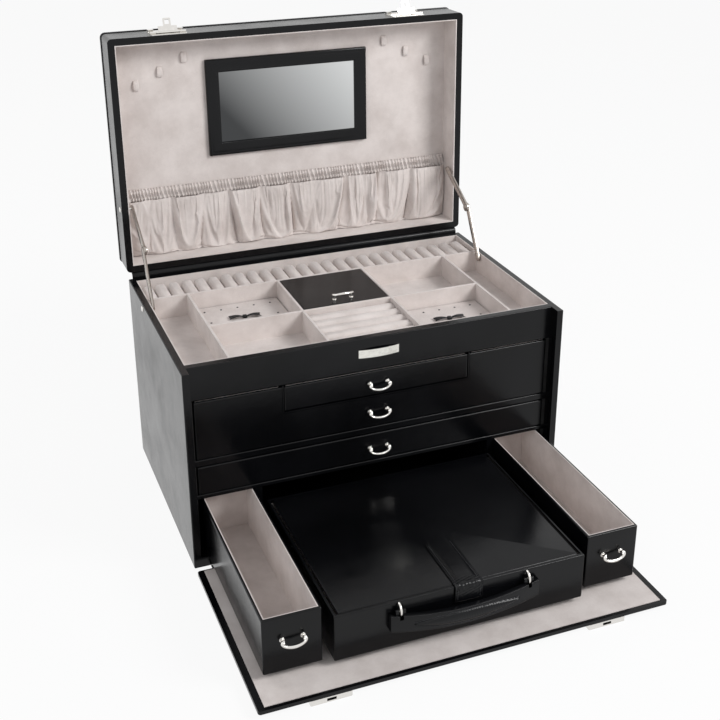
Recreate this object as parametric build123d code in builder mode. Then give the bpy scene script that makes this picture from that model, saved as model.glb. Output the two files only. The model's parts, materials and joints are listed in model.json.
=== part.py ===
"""Jewelry box with drawers: a leather-covered cabinet with a hinged mirror lid, a lined top tray,
three drawers, a drop-down front flap, and below them two side drawers and a removable travel case.

Millimetres. +X is to the right seen from the front, -Y is the front and +Z is up. The origin is the
centre of the cabinet's base, on the surface that it stands on. The box is drawn as it is shown in use:
lid up, flap down, side drawers and travel case pulled out.
"""

import math
import os

from build123d import *

# Cabinet shell
cabinet_width = 440.0
cabinet_depth = 272.5
cabinet_height = 234.0
plinth_height = 6.0
plinth_inset = 10.0
plinth_round = 6.0
side_board = 7.8
back_board = 8.0
base_board = 12.0
front_recess = 13.5
rail_height = 39.0
rail_board = 8.5
shelf_board = 7.8
lower_shelf_board = 5.2
partition_board = 7.5
runner_board = 4.0
edge_round = 1.2
cover_gap = 0.4
soft_round = 0.8
cut_margin = 1.0

# Heights inside the cabinet
side_drawer_height = 62.5
long_drawer_height = 33.5
wide_drawer_height = 68.5
running_gap = 0.5
runner_setback = 1.5
drawer_head_gap = 1.0

# Drawers
drawer_back_gap = 6.0
drawer_wall = 2.6
drawer_round = 1.6
drawer_bottom = 3.0
lining = 1.0
side_drawer_width = 59.5
side_drawer_inset = 4.0
side_pull_up = 36.2
long_pull_up = 15.1
wide_pull_up = 18.6
small_pull_up = 14.1
wide_side_gap = 0.7
left_drawer_out = 216.6
right_drawer_out = 210.5
small_drawer_width = 216.6
small_drawer_height = 29.4
small_drawer_drop = 0.2
housing_wall = 1.6
housing_clear = 0.2

# Tray in the top of the cabinet
tray_depth = 26.5
tray_board = 5.0
tray_lining = 1.2
divider_wall = 3.2
long_divider_x = (164.0, 54.0)
cross_divider_before = 96.0
ring_wall_room = 68.25
ring_count = 26
ring_gap = 0.9
ring_length = 46.0
ring_top_gap = 2.5
ring_crown = 6.2
front_ring_count = 5
pad_height = 6.5
pad_gap = 0.8
pad_round = 1.5
bow_width = 40.0
bow_height = 11.0
bow_thick = 4.0
bow_waist = 0.2
bow_notch = 0.44
bow_knot = (0.15, 0.62)
compartment_lid_board = 4.0
compartment_lid_gap = 0.7
compartment_pull_in = 13.0

# Lid
lid_wider = 1.0
lid_longer = 7.9
lid_depth = 44.5
lid_open_angle = 91.1
lid_hinge_behind = 4.85
lid_hinge_above = 2.2
lid_wall = 8.0
lid_lining = 1.1
lid_inner_depth = 34.0
lid_top_round = 5.0
hinge_strip = 1.2
hinge_strip_height = 24.0
hinge_roll_radius = 4.4
hinge_strip_inset = 18.0
hinge_strip_clear = 0.3

# Things in the lid, placed along it from the hinge side or by their room to its front
mirror_side_room = 118.0
mirror_height = 117.5
mirror_front_room = 38.4
mirror_border = 15.8
mirror_frame_thick = 6.0
mirror_glass_thick = 2.6
mirror_lip = 2.5
mirror_corner = 3.0
mirror_round = 2.0
pocket_from = 9.6
pocket_top = 78.0
pocket_band = 14.5
pocket_belly = 16.0
pocket_mouth = 5.0
pocket_foot = 8.0
pocket_fold_depth = 5.5
pocket_folds = (
    -0.870388, -0.728477, -0.548723, -0.354778, -0.175024, 0.0, 0.104068, 0.350047, 0.591296, 0.813623
)
tab_width = 7.0
tab_length = 13.0
tab_thick = 1.4
tab_lift = 3.0
tab_side_rooms = (25.4, 54.4, 83.9)
tab_front_rooms = (62.4, 48.4, 33.4)

# Lid stays: two arms on each side, jointed at an elbow
stay_length = 67.0
stay_back_room = 80.25
stay_body_below = 5.5
stay_lid_along = 78.0
stay_lid_depth = 7.5
stay_width = 7.0
stay_thick = 1.0
stay_lining_gap = 0.7
stay_arm_gap = 0.5
rivet_radius = 1.5
rivet_head_radius = 3.2
rivet_head = 0.7
rivet_dome = 1.4
elbow_head_radius = 2.7
elbow_head = 0.42
rivet_fit = 0.05
rivet_slack = 0.3
rivet_round = 1.0

# Latches on the lid's front wall and their keepers on the flap
latch_side_room = 71.5
latch_width = 42.0
latch_height = 30.0
latch_plate = 0.8
latch_corner = 2.0
latch_ear_height = 7.0
latch_ear_below = 4.5
latch_ear_out = 2.4
latch_ear_round = 1.6
latch_rim_gap = 1.0
hasp_axis_up = 9.0
hasp_axis_out = 1.7
hasp_barrel_radius = 1.5
hasp_pin_radius = 0.8
hasp_pin_fit = 0.05
hasp_length = 16.0
hasp_width = 22.0
hasp_thick = 1.3
hasp_lean = 20.0
eye_width = 9.0
eye_hole = 5.2
eye_rim = 0.5
eye_round = 1.2
knuckle_length = 7.0
keeper_width = 42.0
keeper_length = 30.0
keeper_height = 5.9
keeper_setback = 0.5
keeper_slot_width = 9.4
keeper_slot_height = 3.0
keeper_slot_depth = 12.0

# Front flap
flap_length = 226.0
flap_board = 4.8
flap_lining = 0.8
flap_lining_inset = 7.0
flap_lining_front = 4.0
flap_lining_rear = 2.5
flap_hinge_out = 5.95
flap_hinge_gap = 6.5
flap_corner = 3.0

# Travel case
case_side_gap = 1.6
case_shorter = 58.5
case_height = 52.2
case_wall = 3.0
case_back_out = 8.3
case_lid_board = 4.0
case_lid_proud = 0.2
case_lid_side_gap = 2.5
case_lid_end_gap = 0.6
case_lining = 1.6
case_round = 1.5
strap_x = 4.5
strap_width = 30.0
strap_thick = 1.8
strap_on_top = 73.0
strap_drop = 17.0
strap_end_round = 9.0
strap_fold_round = 1.6
handle_span = 160.0
handle_height = 18.5
handle_thick = 6.0
handle_bow = 6.5
handle_sag = 6.5
handle_loop_x = 69.0
handle_loop_below = 9.0
handle_loop_radius = 6.6
handle_loop_wire = 1.3
handle_pin_out = 3.5
handle_pin_radius = 1.0
handle_slot = 4.2
handle_strut = 3.2
handle_strut_half = 1.8
handle_drop = 2.0
handle_round = 2.4

# Pulls, all alike
pull_span = 20.0
pull_out = 6.4
pull_post_radius = 1.5
pull_rose_radius = 2.9
pull_rose = 0.9
pull_wire = 1.4
pull_swell = 1.25
pull_sag = 5.0
pull_bow = 1.6

# Nameplate, left bare
plate_width = 47.0
plate_height = 9.4
plate_bow = 2.6
plate_thick = 0.9
plate_below_top = 17.6

# Levels and faces worked out from the sizes above
half_width = cabinet_width / 2
half_depth = cabinet_depth / 2
base_top = plinth_height + base_board
cabinet_top = plinth_height + cabinet_height
front_face = -half_depth + front_recess
wall_inner = half_width - side_board
back_inner = half_depth - back_board
drawer_depth = back_inner - front_face - drawer_back_gap
side_drawer_bottom = base_top + running_gap
lower_shelf_bottom = side_drawer_bottom + side_drawer_height + drawer_head_gap
lower_shelf_top = lower_shelf_bottom + lower_shelf_board
long_drawer_z = lower_shelf_top + running_gap
upper_shelf_bottom = long_drawer_z + long_drawer_height + drawer_head_gap
upper_shelf_top = upper_shelf_bottom + shelf_board
wide_drawer_z = upper_shelf_top + running_gap
wide_drawer_top = wide_drawer_z + wide_drawer_height
rail_bottom = cabinet_top - rail_height
tray_floor_top = cabinet_top - tray_depth
tray_board_top = tray_floor_top - tray_lining
tray_board_bottom = tray_board_top - tray_board
rail_inner = front_face + rail_board
tray_x = wall_inner - tray_lining
tray_front = rail_inner + tray_lining
ring_wall_y = half_depth - ring_wall_room
cross_divider_y = ring_wall_y - cross_divider_before
runner_inner = wall_inner - runner_board

lid_width = cabinet_width + lid_wider
lid_length = cabinet_depth + lid_longer
lid_half = lid_width / 2
lid_hinge_y = half_depth + lid_hinge_behind
lid_hinge_z = cabinet_top + lid_hinge_above
rim_level = cover_gap - lid_hinge_above
lid_back = -lid_hinge_behind
lid_front = lid_back - lid_length
opened = math.radians(lid_open_angle)
lid_frame = Plane(
    origin=(0, lid_hinge_y, lid_hinge_z), x_dir=(1, 0, 0), z_dir=(0, math.sin(opened), math.cos(opened))
)
lid_lining_level = rim_level + lid_inner_depth
lid_board_level = lid_lining_level + lid_lining
lid_top_level = rim_level + lid_depth

latch_x = half_width - latch_side_room
flap_hinge_y = -half_depth - flap_hinge_out
flap_rear = flap_hinge_y - flap_hinge_gap
flap_front = flap_rear - flap_length
flap_bottom = plinth_height
flap_top = flap_bottom + flap_board


def save(part, name):
    """Labels a finished piece and writes it under its own name."""
    part.label = name
    export_step(part, os.path.join("parts", name + ".step"))


def board(low, high, rounding=0.0, plane=Plane.XY):
    """A flat board between two corners, given in the plane's own coordinates, with its edges eased."""
    size = [b - a for a, b in zip(low, high)]
    centre = [(a + b) / 2 for a, b in zip(low, high)]
    with BuildPart() as piece:
        with BuildSketch(plane.offset(low[2])):
            with Locations((centre[0], centre[1])):
                Rectangle(size[0], size[1])
        extrude(amount=size[2])
        if rounding:
            fillet(piece.edges(), min(rounding, min(size) / 2.2))
    return piece.part


def open_box(low, high, wall, bottom, rounding=0.0):
    """A box open at the top, with walls and a bottom."""
    with BuildPart() as piece:
        add(board(low, high))
        if rounding:
            fillet(piece.edges(), rounding)
        inner_low = (low[0] + wall, low[1] + wall, low[2] + bottom)
        inner_high = (high[0] - wall, high[1] - wall, high[2] + wall)
        add(board(inner_low, inner_high), mode=Mode.SUBTRACT)
    return piece.part


def pull(origin, out_dir, across=(1, 0, 0)):
    """A drawer pull: two posts on round roses with a bar that swells, sags and bows out between them."""
    face = Plane(origin=origin, x_dir=across, z_dir=out_dir)
    half = pull_span / 2
    with BuildPart() as piece:
        with BuildSketch(face):
            with Locations((-half, 0), (half, 0)):
                Circle(pull_rose_radius)
        extrude(amount=pull_rose)
        with BuildSketch(face):
            with Locations((-half, 0), (half, 0)):
                Circle(pull_post_radius)
        extrude(amount=pull_out)
        start = face.from_local_coords((-half - pull_wire, 0, pull_out))
        middle = face.from_local_coords((0, -pull_sag, pull_out + pull_bow))
        end = face.from_local_coords((half + pull_wire, 0, pull_out))
        with BuildLine() as bar:
            ThreePointArc(start, middle, end)
        for place, radius in ((0, pull_wire), (0.5, pull_wire * pull_swell), (1, pull_wire)):
            with BuildSketch(Plane(origin=bar.line @ place, z_dir=bar.line % place)):
                Circle(radius)
        sweep(path=bar.line, multisection=True)
    return piece.part


os.makedirs("parts", exist_ok=True)

# Base panel between the side walls
save(board((-wall_inner, -half_depth, plinth_height), (wall_inner, back_inner, base_top)), "base_panel")

# Felt-covered plinth that the box stands on
plinth_x = half_width - plinth_inset
plinth_y = half_depth - plinth_inset
with BuildPart() as base_plinth:
    add(board((-plinth_x, -plinth_y, 0), (plinth_x, plinth_y, plinth_height)))
    fillet(base_plinth.edges().filter_by(Axis.Z), plinth_round)
save(base_plinth.part, "base_plinth")

# Side walls, each with the hole for its stay rivet
stay_body_y = half_depth - stay_back_room
stay_body_z = cabinet_top - stay_body_below
with BuildPart() as side_panels:
    for side in (-1, 1):
        inner, outer = sorted((side * wall_inner, side * half_width))
        add(board((inner, -half_depth, plinth_height), (outer, half_depth, cabinet_top)))
    long_edges = side_panels.edges().filter_by(Axis.Y) + side_panels.edges().filter_by(Axis.Z)
    fillet([edge for edge in long_edges if abs(edge.center().X) > wall_inner + cover_gap], edge_round)
    with BuildSketch(Plane.YZ.offset(-half_width - cut_margin)):
        with Locations((stay_body_y, stay_body_z)):
            Circle(rivet_radius + rivet_fit)
    extrude(amount=cabinet_width + 2 * cut_margin, mode=Mode.SUBTRACT)
save(side_panels.part, "side_panels")

# Back panel, front rail under the lid, tray floor and shelves, all between the side walls
save(board((-wall_inner, back_inner, plinth_height), (wall_inner, half_depth, cabinet_top)), "back_panel")
with BuildPart() as front_rail:
    add(board((-wall_inner, front_face, rail_bottom), (wall_inner, rail_inner, cabinet_top)))
    front_edges = front_rail.faces().sort_by(Axis.Y)[0].edges().filter_by(Axis.X)
    fillet(front_edges, edge_round)
save(front_rail.part, "front_rail")
low = (-wall_inner, rail_inner, tray_board_bottom)
save(board(low, (wall_inner, back_inner, tray_board_top)), "tray_floor")
with BuildPart() as drawer_shelves:
    for low, high in ((lower_shelf_bottom, lower_shelf_top), (upper_shelf_bottom, upper_shelf_top)):
        add(board((-wall_inner, front_face, low), (wall_inner, back_inner, high)))
    for plank in drawer_shelves.solids():
        fillet(plank.faces().sort_by(Axis.Y)[0].edges().filter_by(Axis.X), edge_round)
save(drawer_shelves.part, "drawer_shelves")

# Partitions between the bottom bays
side_drawer_outer = runner_inner - side_drawer_inset
side_drawer_inner = side_drawer_outer - side_drawer_width
partition_outer = side_drawer_inner - running_gap
partition_inner = partition_outer - partition_board
with BuildPart() as bay_partitions:
    for side in (-1, 1):
        low_x, high_x = sorted((side * partition_inner, side * partition_outer))
        add(board((low_x, front_face, base_top), (high_x, back_inner, lower_shelf_bottom)))
save(bay_partitions.part, "bay_partitions")

# Runner strips on the side walls, beside the drawers
runner_end = front_face + drawer_depth
with BuildPart() as drawer_runners:
    for side in (-1, 1):
        low_x, high_x = sorted((side * runner_inner, side * wall_inner))
        for low, high in (
            (base_top, lower_shelf_bottom),
            (lower_shelf_top, upper_shelf_bottom),
            (upper_shelf_top, tray_board_bottom),
        ):
            add(board((low_x, front_face + runner_setback, low), (high_x, runner_end, high)))
    rail_room = front_face + rail_board
    for side in (-1, 1):
        low_x, high_x = sorted((side * (runner_inner - cut_margin), side * (wall_inner + cut_margin)))
        corner = (low_x, front_face, rail_bottom)
        add(board(corner, (high_x, rail_room, cabinet_top)), mode=Mode.SUBTRACT)
save(drawer_runners.part, "drawer_runners")

# Housing of the small drawer, hung from the tray floor in the wide drawer's notch
small_half = small_drawer_width / 2
housing_inner = small_half + running_gap
housing_outer = housing_inner + housing_wall
small_drawer_top = wide_drawer_top - small_drawer_drop
small_drawer_z = small_drawer_top - small_drawer_height
housing_floor_top = small_drawer_z - running_gap
housing_bottom = housing_floor_top - housing_wall
small_run_end = front_face + drawer_depth
with BuildPart() as small_drawer_housing:
    low = (-housing_outer, front_face, housing_bottom)
    add(board(low, (housing_outer, small_run_end, tray_board_bottom)))
    inner_low = (-housing_inner, front_face - cut_margin, housing_floor_top)
    inner_high = (housing_inner, small_run_end - housing_wall, tray_board_bottom + cut_margin)
    add(board(inner_low, inner_high), mode=Mode.SUBTRACT)
    low = (-housing_outer - cut_margin, front_face - cut_margin, rail_bottom - housing_clear)
    high = (housing_outer + cut_margin, rail_inner + housing_clear, tray_board_bottom + cut_margin)
    add(board(low, high), mode=Mode.SUBTRACT)
save(small_drawer_housing.part, "small_drawer_housing")

# Lining of the tray: floor and four thin walls, pierced for the stay rivets
with BuildPart() as tray_lining_piece:
    low = (-wall_inner, rail_inner, tray_board_top)
    add(open_box(low, (wall_inner, back_inner, cabinet_top), tray_lining, tray_lining))
    with BuildSketch(Plane.YZ.offset(-half_width)):
        with Locations((stay_body_y, stay_body_z)):
            Circle(rivet_radius + rivet_fit)
    extrude(amount=cabinet_width, mode=Mode.SUBTRACT)
save(tray_lining_piece.part, "tray_lining")

# Dividers of the tray: the wall in front of the ring rolls, four long ones and the cross ones
half_wall = divider_wall / 2
ring_wall_front = ring_wall_y - half_wall
outer_x, middle_x = long_divider_x
with BuildPart() as tray_dividers:
    add(board((-tray_x, ring_wall_front, tray_floor_top), (tray_x, ring_wall_y + half_wall, cabinet_top)))
    for x in (-outer_x, -middle_x, middle_x, outer_x):
        add(board((x - half_wall, tray_front, tray_floor_top), (x + half_wall, ring_wall_y, cabinet_top)))
    for low_x, high_x in ((-outer_x, -middle_x), (-middle_x, middle_x), (middle_x, outer_x)):
        low = (low_x, cross_divider_y - half_wall, tray_floor_top)
        add(board(low, (high_x, cross_divider_y + half_wall, cabinet_top)))
    fillet(tray_dividers.faces().sort_by(Axis.Z)[-1].edges(), soft_round)
save(tray_dividers.part, "tray_dividers")


def ring_roll(plane, width, length, height):
    """A padded roll with a rounded crown, standing on the plane and running along its normal."""
    with BuildPart() as roll:
        with BuildSketch(plane):
            with BuildLine():
                side_top = height - ring_crown
                Polyline((-width / 2, side_top), (-width / 2, 0), (width / 2, 0), (width / 2, side_top))
                ThreePointArc((width / 2, side_top), (0, height), (-width / 2, side_top))
            make_face()
        extrude(amount=length)
    return roll.part


# Ring rolls along the back of the tray, running front to back
roll_height = tray_depth - ring_top_gap
ring_start = ring_wall_y + half_wall
ring_pitch = 2 * tray_x / ring_count
with BuildPart() as back_ring_rolls:
    for number in range(ring_count):
        x = -tray_x + (number + 0.5) * ring_pitch
        end = Plane(origin=(x, ring_start + ring_length, tray_floor_top), x_dir=(1, 0, 0), z_dir=(0, -1, 0))
        add(ring_roll(end, ring_pitch - ring_gap, ring_length, roll_height))
save(back_ring_rolls.part, "back_ring_rolls")

# Ring rolls in the front middle compartment, running left to right
middle_inner = middle_x - half_wall
front_ring_room = cross_divider_y - half_wall - tray_front
front_ring_pitch = front_ring_room / front_ring_count
with BuildPart() as front_ring_rolls:
    for number in range(front_ring_count):
        y = tray_front + (number + 0.5) * front_ring_pitch
        end = Plane(origin=(-middle_inner, y, tray_floor_top), x_dir=(0, 1, 0), z_dir=(1, 0, 0))
        add(ring_roll(end, front_ring_pitch - ring_gap, 2 * middle_inner, roll_height))
save(front_ring_rolls.part, "front_ring_rolls")

# Earring pads: left compartment behind the cross divider, right compartment in front of it
left_pad = (
    (-outer_x + half_wall + pad_gap, cross_divider_y + half_wall + pad_gap),
    (-middle_x - half_wall - pad_gap, ring_wall_front - pad_gap),
)
right_pad = (
    (middle_x + half_wall + pad_gap, tray_front + pad_gap),
    (outer_x - half_wall - pad_gap, cross_divider_y - half_wall - pad_gap),
)
pad_top = tray_floor_top + pad_height
with BuildPart() as earring_pads:
    for low, high in (left_pad, right_pad):
        add(board((*low, tray_floor_top), (*high, pad_top)))
    for pad in earring_pads.solids():
        fillet(pad.faces().sort_by(Axis.Z)[-1].edges(), pad_round)
save(earring_pads.part, "earring_pads")

# Ribbon bows on the pads: two flared loops and a knot
with BuildPart() as earring_bows:
    for low, high in (left_pad, right_pad):
        x = (low[0] + high[0]) / 2
        y = (low[1] + high[1]) / 2
        with BuildSketch(Plane(origin=(x, y, pad_top))):
            for side in (-1, 1):
                with BuildLine():
                    Polyline(
                        (0, -bow_height * bow_waist),
                        (side * bow_width / 2, -bow_height / 2),
                        (side * bow_width * bow_notch, bow_height / 2),
                        (0, bow_height * bow_waist),
                        close=True,
                    )
                make_face()
            Rectangle(bow_width * bow_knot[0], bow_height * bow_knot[1])
        extrude(amount=bow_thick)
save(earring_bows.part, "earring_bows")

# Bare nameplate, bowed outwards on the front rail
plate_z = cabinet_top - plate_below_top
with BuildPart() as nameplate:
    with BuildSketch(Plane.XY.offset(plate_z - plate_height / 2)):
        with BuildLine():
            half = plate_width / 2
            ThreePointArc((-half, front_face), (0, front_face - plate_bow), (half, front_face))
            Line((half, front_face), (half, front_face - plate_thick))
            ThreePointArc(
                (half, front_face - plate_thick),
                (0, front_face - plate_bow - plate_thick),
                (-half, front_face - plate_thick),
            )
            Line((-half, front_face - plate_thick), (-half, front_face))
        make_face()
    extrude(amount=plate_height)
save(nameplate.part, "nameplate")

# Leather hinge strips: a leaf with a roll behind the lid, and a flat leaf in front of the base
strip_half = half_width - hinge_strip_inset
with BuildPart() as hinge_strips:
    with BuildSketch(Plane.YZ.offset(-strip_half)):
        with Locations((half_depth + hinge_strip / 2, cabinet_top - hinge_strip_height / 2)):
            Rectangle(hinge_strip, hinge_strip_height)
        with Locations((lid_hinge_y, lid_hinge_z)):
            Circle(hinge_roll_radius)
    extrude(amount=2 * strip_half)
    low = (-strip_half, flap_rear + hinge_strip_clear, flap_bottom - hinge_strip / 2)
    add(board(low, (strip_half, -half_depth, flap_bottom + hinge_strip / 2)))
save(hinge_strips.part, "hinge_strips")


def lid_board(low, high, rounding=0.0):
    """A board given in the closed lid's coordinates, counted from the lid's hinge line."""
    return board(low, high, rounding, lid_frame)


# Walls of the lid: a frame with a rim, pierced for the stay rivets
stay_lid_y = lid_back - stay_lid_along
stay_lid_z = rim_level + stay_lid_depth
lid_z_axis = Axis((0, 0, 0), tuple(lid_frame.z_dir))
lid_side = Plane(
    origin=lid_frame.from_local_coords((-lid_half - cut_margin, 0, 0)),
    x_dir=tuple(lid_frame.y_dir),
    z_dir=(1, 0, 0),
)
with BuildPart() as lid_walls:
    add(lid_board((-lid_half, lid_front, rim_level), (lid_half, lid_back, lid_board_level)))
    fillet(lid_walls.edges().filter_by(lid_z_axis), lid_top_round)
    inner_low = (-lid_half + lid_wall, lid_front + lid_wall, rim_level - cut_margin)
    inner_high = (lid_half - lid_wall, lid_back - lid_wall, lid_board_level + cut_margin)
    add(lid_board(inner_low, inner_high), mode=Mode.SUBTRACT)
    with BuildSketch(lid_side):
        with Locations((stay_lid_y, stay_lid_z)):
            Circle(rivet_radius + rivet_fit)
    extrude(amount=lid_width + 2 * cut_margin, mode=Mode.SUBTRACT)
save(lid_walls.part, "lid_walls")

# Padded top of the lid
with BuildPart() as lid_panel:
    add(lid_board((-lid_half, lid_front, lid_board_level), (lid_half, lid_back, lid_top_level)))
    fillet(lid_panel.edges().filter_by(lid_z_axis), lid_top_round)
    fillet(lid_panel.faces().sort_by(lid_z_axis)[-1].edges(), lid_top_round)
save(lid_panel.part, "lid_panel")

# Lining of the lid: panel and four thin walls
inner_x = lid_half - lid_wall
inner_front = lid_front + lid_wall
inner_back = lid_back - lid_wall
lined_x = inner_x - lid_lining
lined_front = inner_front + lid_lining
lined_back = inner_back - lid_lining
with BuildPart() as lid_lining_piece:
    add(lid_board((-inner_x, inner_front, rim_level), (inner_x, inner_back, lid_board_level)))
    low = (-lined_x, lined_front, rim_level - cut_margin)
    add(lid_board(low, (lined_x, lined_back, lid_lining_level)), mode=Mode.SUBTRACT)
    with BuildSketch(lid_side):
        with Locations((stay_lid_y, stay_lid_z)):
            Circle(rivet_radius + rivet_fit)
    extrude(amount=lid_width + 2 * cut_margin, mode=Mode.SUBTRACT)
save(lid_lining_piece.part, "lid_lining")

# Mirror glass and the padded frame that holds it, on the lid's lining
mirror_half = lid_half - mirror_side_room
mirror_low_y = lid_front + mirror_front_room
mirror_high_y = mirror_low_y + mirror_height
glass_half = mirror_half - mirror_border
glass_low_y = mirror_low_y + mirror_border
glass_high_y = mirror_high_y - mirror_border
with BuildPart() as mirror_glass:
    low = (-glass_half - mirror_lip, glass_low_y - mirror_lip, lid_lining_level - mirror_glass_thick)
    add(lid_board(low, (glass_half + mirror_lip, glass_high_y + mirror_lip, lid_lining_level)))
save(mirror_glass.part, "mirror_glass")
with BuildPart() as mirror_frame:
    low = (-mirror_half, mirror_low_y, lid_lining_level - mirror_frame_thick)
    add(lid_board(low, (mirror_half, mirror_high_y, lid_lining_level)))
    fillet(mirror_frame.edges().filter_by(lid_z_axis), mirror_corner)
    fillet(mirror_frame.faces().sort_by(lid_z_axis)[0].edges(), mirror_round)
    add(
        lid_board((-glass_half, glass_low_y, rim_level), (glass_half, glass_high_y, lid_board_level)),
        mode=Mode.SUBTRACT,
    )
    low = (-glass_half - mirror_lip, glass_low_y - mirror_lip, lid_lining_level - mirror_glass_thick)
    add(
        lid_board(low, (glass_half + mirror_lip, glass_high_y + mirror_lip, lid_board_level)),
        mode=Mode.SUBTRACT,
    )
save(mirror_frame.part, "mirror_frame")

# Necklace tabs: short folded tabs that stand off the lining at their lower ends
with BuildPart() as necklace_tabs:
    tab_x = [lined_x - room for room in tab_side_rooms]
    for x, room in zip((*(-x for x in tab_x), *tab_x), 2 * tab_front_rooms):
        low_x = x - tab_width / 2
        side = Plane(
            origin=lid_frame.from_local_coords((low_x, lid_front + room, lid_lining_level)),
            x_dir=tuple(lid_frame.y_dir),
            z_dir=(1, 0, 0),
        )
        half = tab_length / 2
        with BuildSketch(side):
            with BuildLine():
                Polyline(
                    (-half, 0),
                    (-half, -tab_thick),
                    (half / 2, -tab_thick - tab_lift / 3),
                    (half, -tab_thick - tab_lift),
                    (half, -tab_lift),
                    (half / 2, -tab_lift / 3),
                    (-half / 4, 0),
                    close=True,
                )
            make_face()
        extrude(amount=tab_width)
save(necklace_tabs.part, "necklace_tabs")


def fold_depth(bulge, width):
    """How far a fold valley of the pocket dips between two puffs."""
    return min(pocket_fold_depth, bulge * 0.6, width * 0.4)


def pocket_section(up, bulge):
    """The pocket's outline across the lid at one height: puffs of cloth between the fold valleys."""
    valleys = [share * lined_x for share in (-1, *pocket_folds, 1)]
    level = lid_frame.from_local_coords((0, lid_back - up, lid_lining_level))
    plane = Plane(origin=level, x_dir=(1, 0, 0), z_dir=tuple(-lid_frame.y_dir))
    with BuildSketch(plane) as outline:
        with BuildLine():
            for low, high in zip(valleys, valleys[1:]):
                fold = fold_depth(bulge, high - low)
                ThreePointArc((low, fold - bulge), ((low + high) / 2, -bulge), (high, fold - bulge))
            fold = fold_depth(bulge, lined_x - valleys[-2])
            first = fold_depth(bulge, lined_x + valleys[1])
            Polyline((lined_x, fold - bulge), (lined_x, 0), (-lined_x, 0), (-lined_x, first - bulge))
        make_face()
    return outline.sketch


# Gathered pocket across the foot of the lid, with its shirred band
with BuildPart() as elastic_pocket:
    pocket_middle = (pocket_from + pocket_top) / 2
    belly = pocket_section(pocket_middle, pocket_belly).faces()
    loft([*pocket_section(pocket_from, pocket_foot).faces(), *belly])
    loft([*belly, *pocket_section(pocket_top, pocket_mouth).faces()])
    band_low = (-lined_x, lid_back - pocket_top - pocket_band, lid_lining_level - pocket_mouth)
    add(lid_board(band_low, (lined_x, lid_back - pocket_top, lid_lining_level)))
save(elastic_pocket.part, "elastic_pocket")


def rivet(plane, through, inner_reach):
    """A rivet drawn from the outer face inwards: a domed head, the shank and a flat inner head."""
    with BuildPart() as piece:
        with BuildSketch(plane):
            Circle(rivet_head_radius)
        extrude(amount=-rivet_dome)
        rims = piece.edges().filter_by(GeomType.CIRCLE).sort_by(Axis(plane.origin, plane.z_dir))
        fillet(rims[0], rivet_round)
        with BuildSketch(plane):
            Circle(rivet_radius)
        extrude(amount=through + inner_reach)
        with BuildSketch(plane.offset(through + inner_reach - rivet_head)):
            Circle(rivet_head_radius)
        extrude(amount=rivet_head)
    return piece.part


# Positions of the stay arms across the box, counted from its middle
lower_arm_outer = tray_x - stay_lining_gap
lower_arm_inner = lower_arm_outer - stay_thick
upper_arm_outer = lower_arm_inner - stay_arm_gap
upper_arm_inner = upper_arm_outer - stay_thick

# Rivets that carry the stays, on the cabinet and on the lid
with BuildPart() as cabinet_stay_rivets:
    for side in (-1, 1):
        place = (side * half_width, stay_body_y, stay_body_z)
        outer = Plane(origin=place, x_dir=(0, 1, 0), z_dir=(-side, 0, 0))
        reach = wall_inner - lower_arm_inner + rivet_slack + rivet_head
        add(rivet(outer, side_board, reach))
save(cabinet_stay_rivets.part, "cabinet_stay_rivets")
lid_pivot = lid_frame.from_local_coords((0, stay_lid_y, stay_lid_z))
with BuildPart() as lid_stay_rivets:
    for side in (-1, 1):
        place = (side * lid_half, lid_pivot.Y, lid_pivot.Z)
        outer = Plane(origin=place, x_dir=(0, 1, 0), z_dir=(-side, 0, 0))
        reach = lid_half - lid_wall - upper_arm_inner + rivet_slack + rivet_head
        add(rivet(outer, lid_wall, reach))
save(lid_stay_rivets.part, "lid_stay_rivets")

# The elbow is where the two arms meet, in front of the line between their pivots
gap_y = lid_pivot.Y - stay_body_y
gap_z = lid_pivot.Z - stay_body_z
span = math.hypot(gap_y, gap_z)
rise = math.sqrt(stay_length**2 - (span / 2) ** 2)
elbow_y = stay_body_y + gap_y / 2 - rise * gap_z / span
elbow_z = stay_body_z + gap_z / 2 + rise * gap_y / span


def stay_arm(side, inner, outer, pivot, elbow, bore, head_reach):
    """A flat arm with round ends: bored at its pivot, with a rivet head at the elbow."""
    low_x = min(side * inner, side * outer)
    across = elbow[0] - pivot[0]
    up = elbow[1] - pivot[1]
    turn = math.degrees(math.atan2(up, across))
    with BuildPart() as arm:
        with BuildSketch(Plane.YZ.offset(low_x)):
            with Locations(Location((pivot[0] + across / 2, pivot[1] + up / 2), turn)):
                SlotCenterToCenter(stay_length, stay_width)
            with Locations(pivot):
                Circle(bore, mode=Mode.SUBTRACT)
        extrude(amount=outer - inner)
        low_head = min(side * head_reach[0], side * head_reach[1])
        with BuildSketch(Plane.YZ.offset(low_head)):
            with Locations(elbow):
                Circle(elbow_head_radius)
        extrude(amount=abs(head_reach[1] - head_reach[0]))
    return arm.part


elbow_point = (elbow_y, elbow_z)
arm_bore = rivet_radius + rivet_fit
for word, side in (("left", -1), ("right", 1)):
    with BuildPart() as lower_arm:
        head = (lower_arm_outer, lower_arm_outer + elbow_head)
        body_end = (stay_body_y, stay_body_z)
        add(stay_arm(side, lower_arm_inner, lower_arm_outer, body_end, elbow_point, arm_bore, head))
    save(lower_arm.part, word + "_stay_lower")
    with BuildPart() as upper_arm:
        head = (upper_arm_inner - rivet_head, upper_arm_inner)
        lid_end = (lid_pivot.Y, lid_pivot.Z)
        add(stay_arm(side, upper_arm_inner, upper_arm_outer, lid_end, elbow_point, arm_bore, head))
    save(upper_arm.part, word + "_stay_upper")

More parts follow.
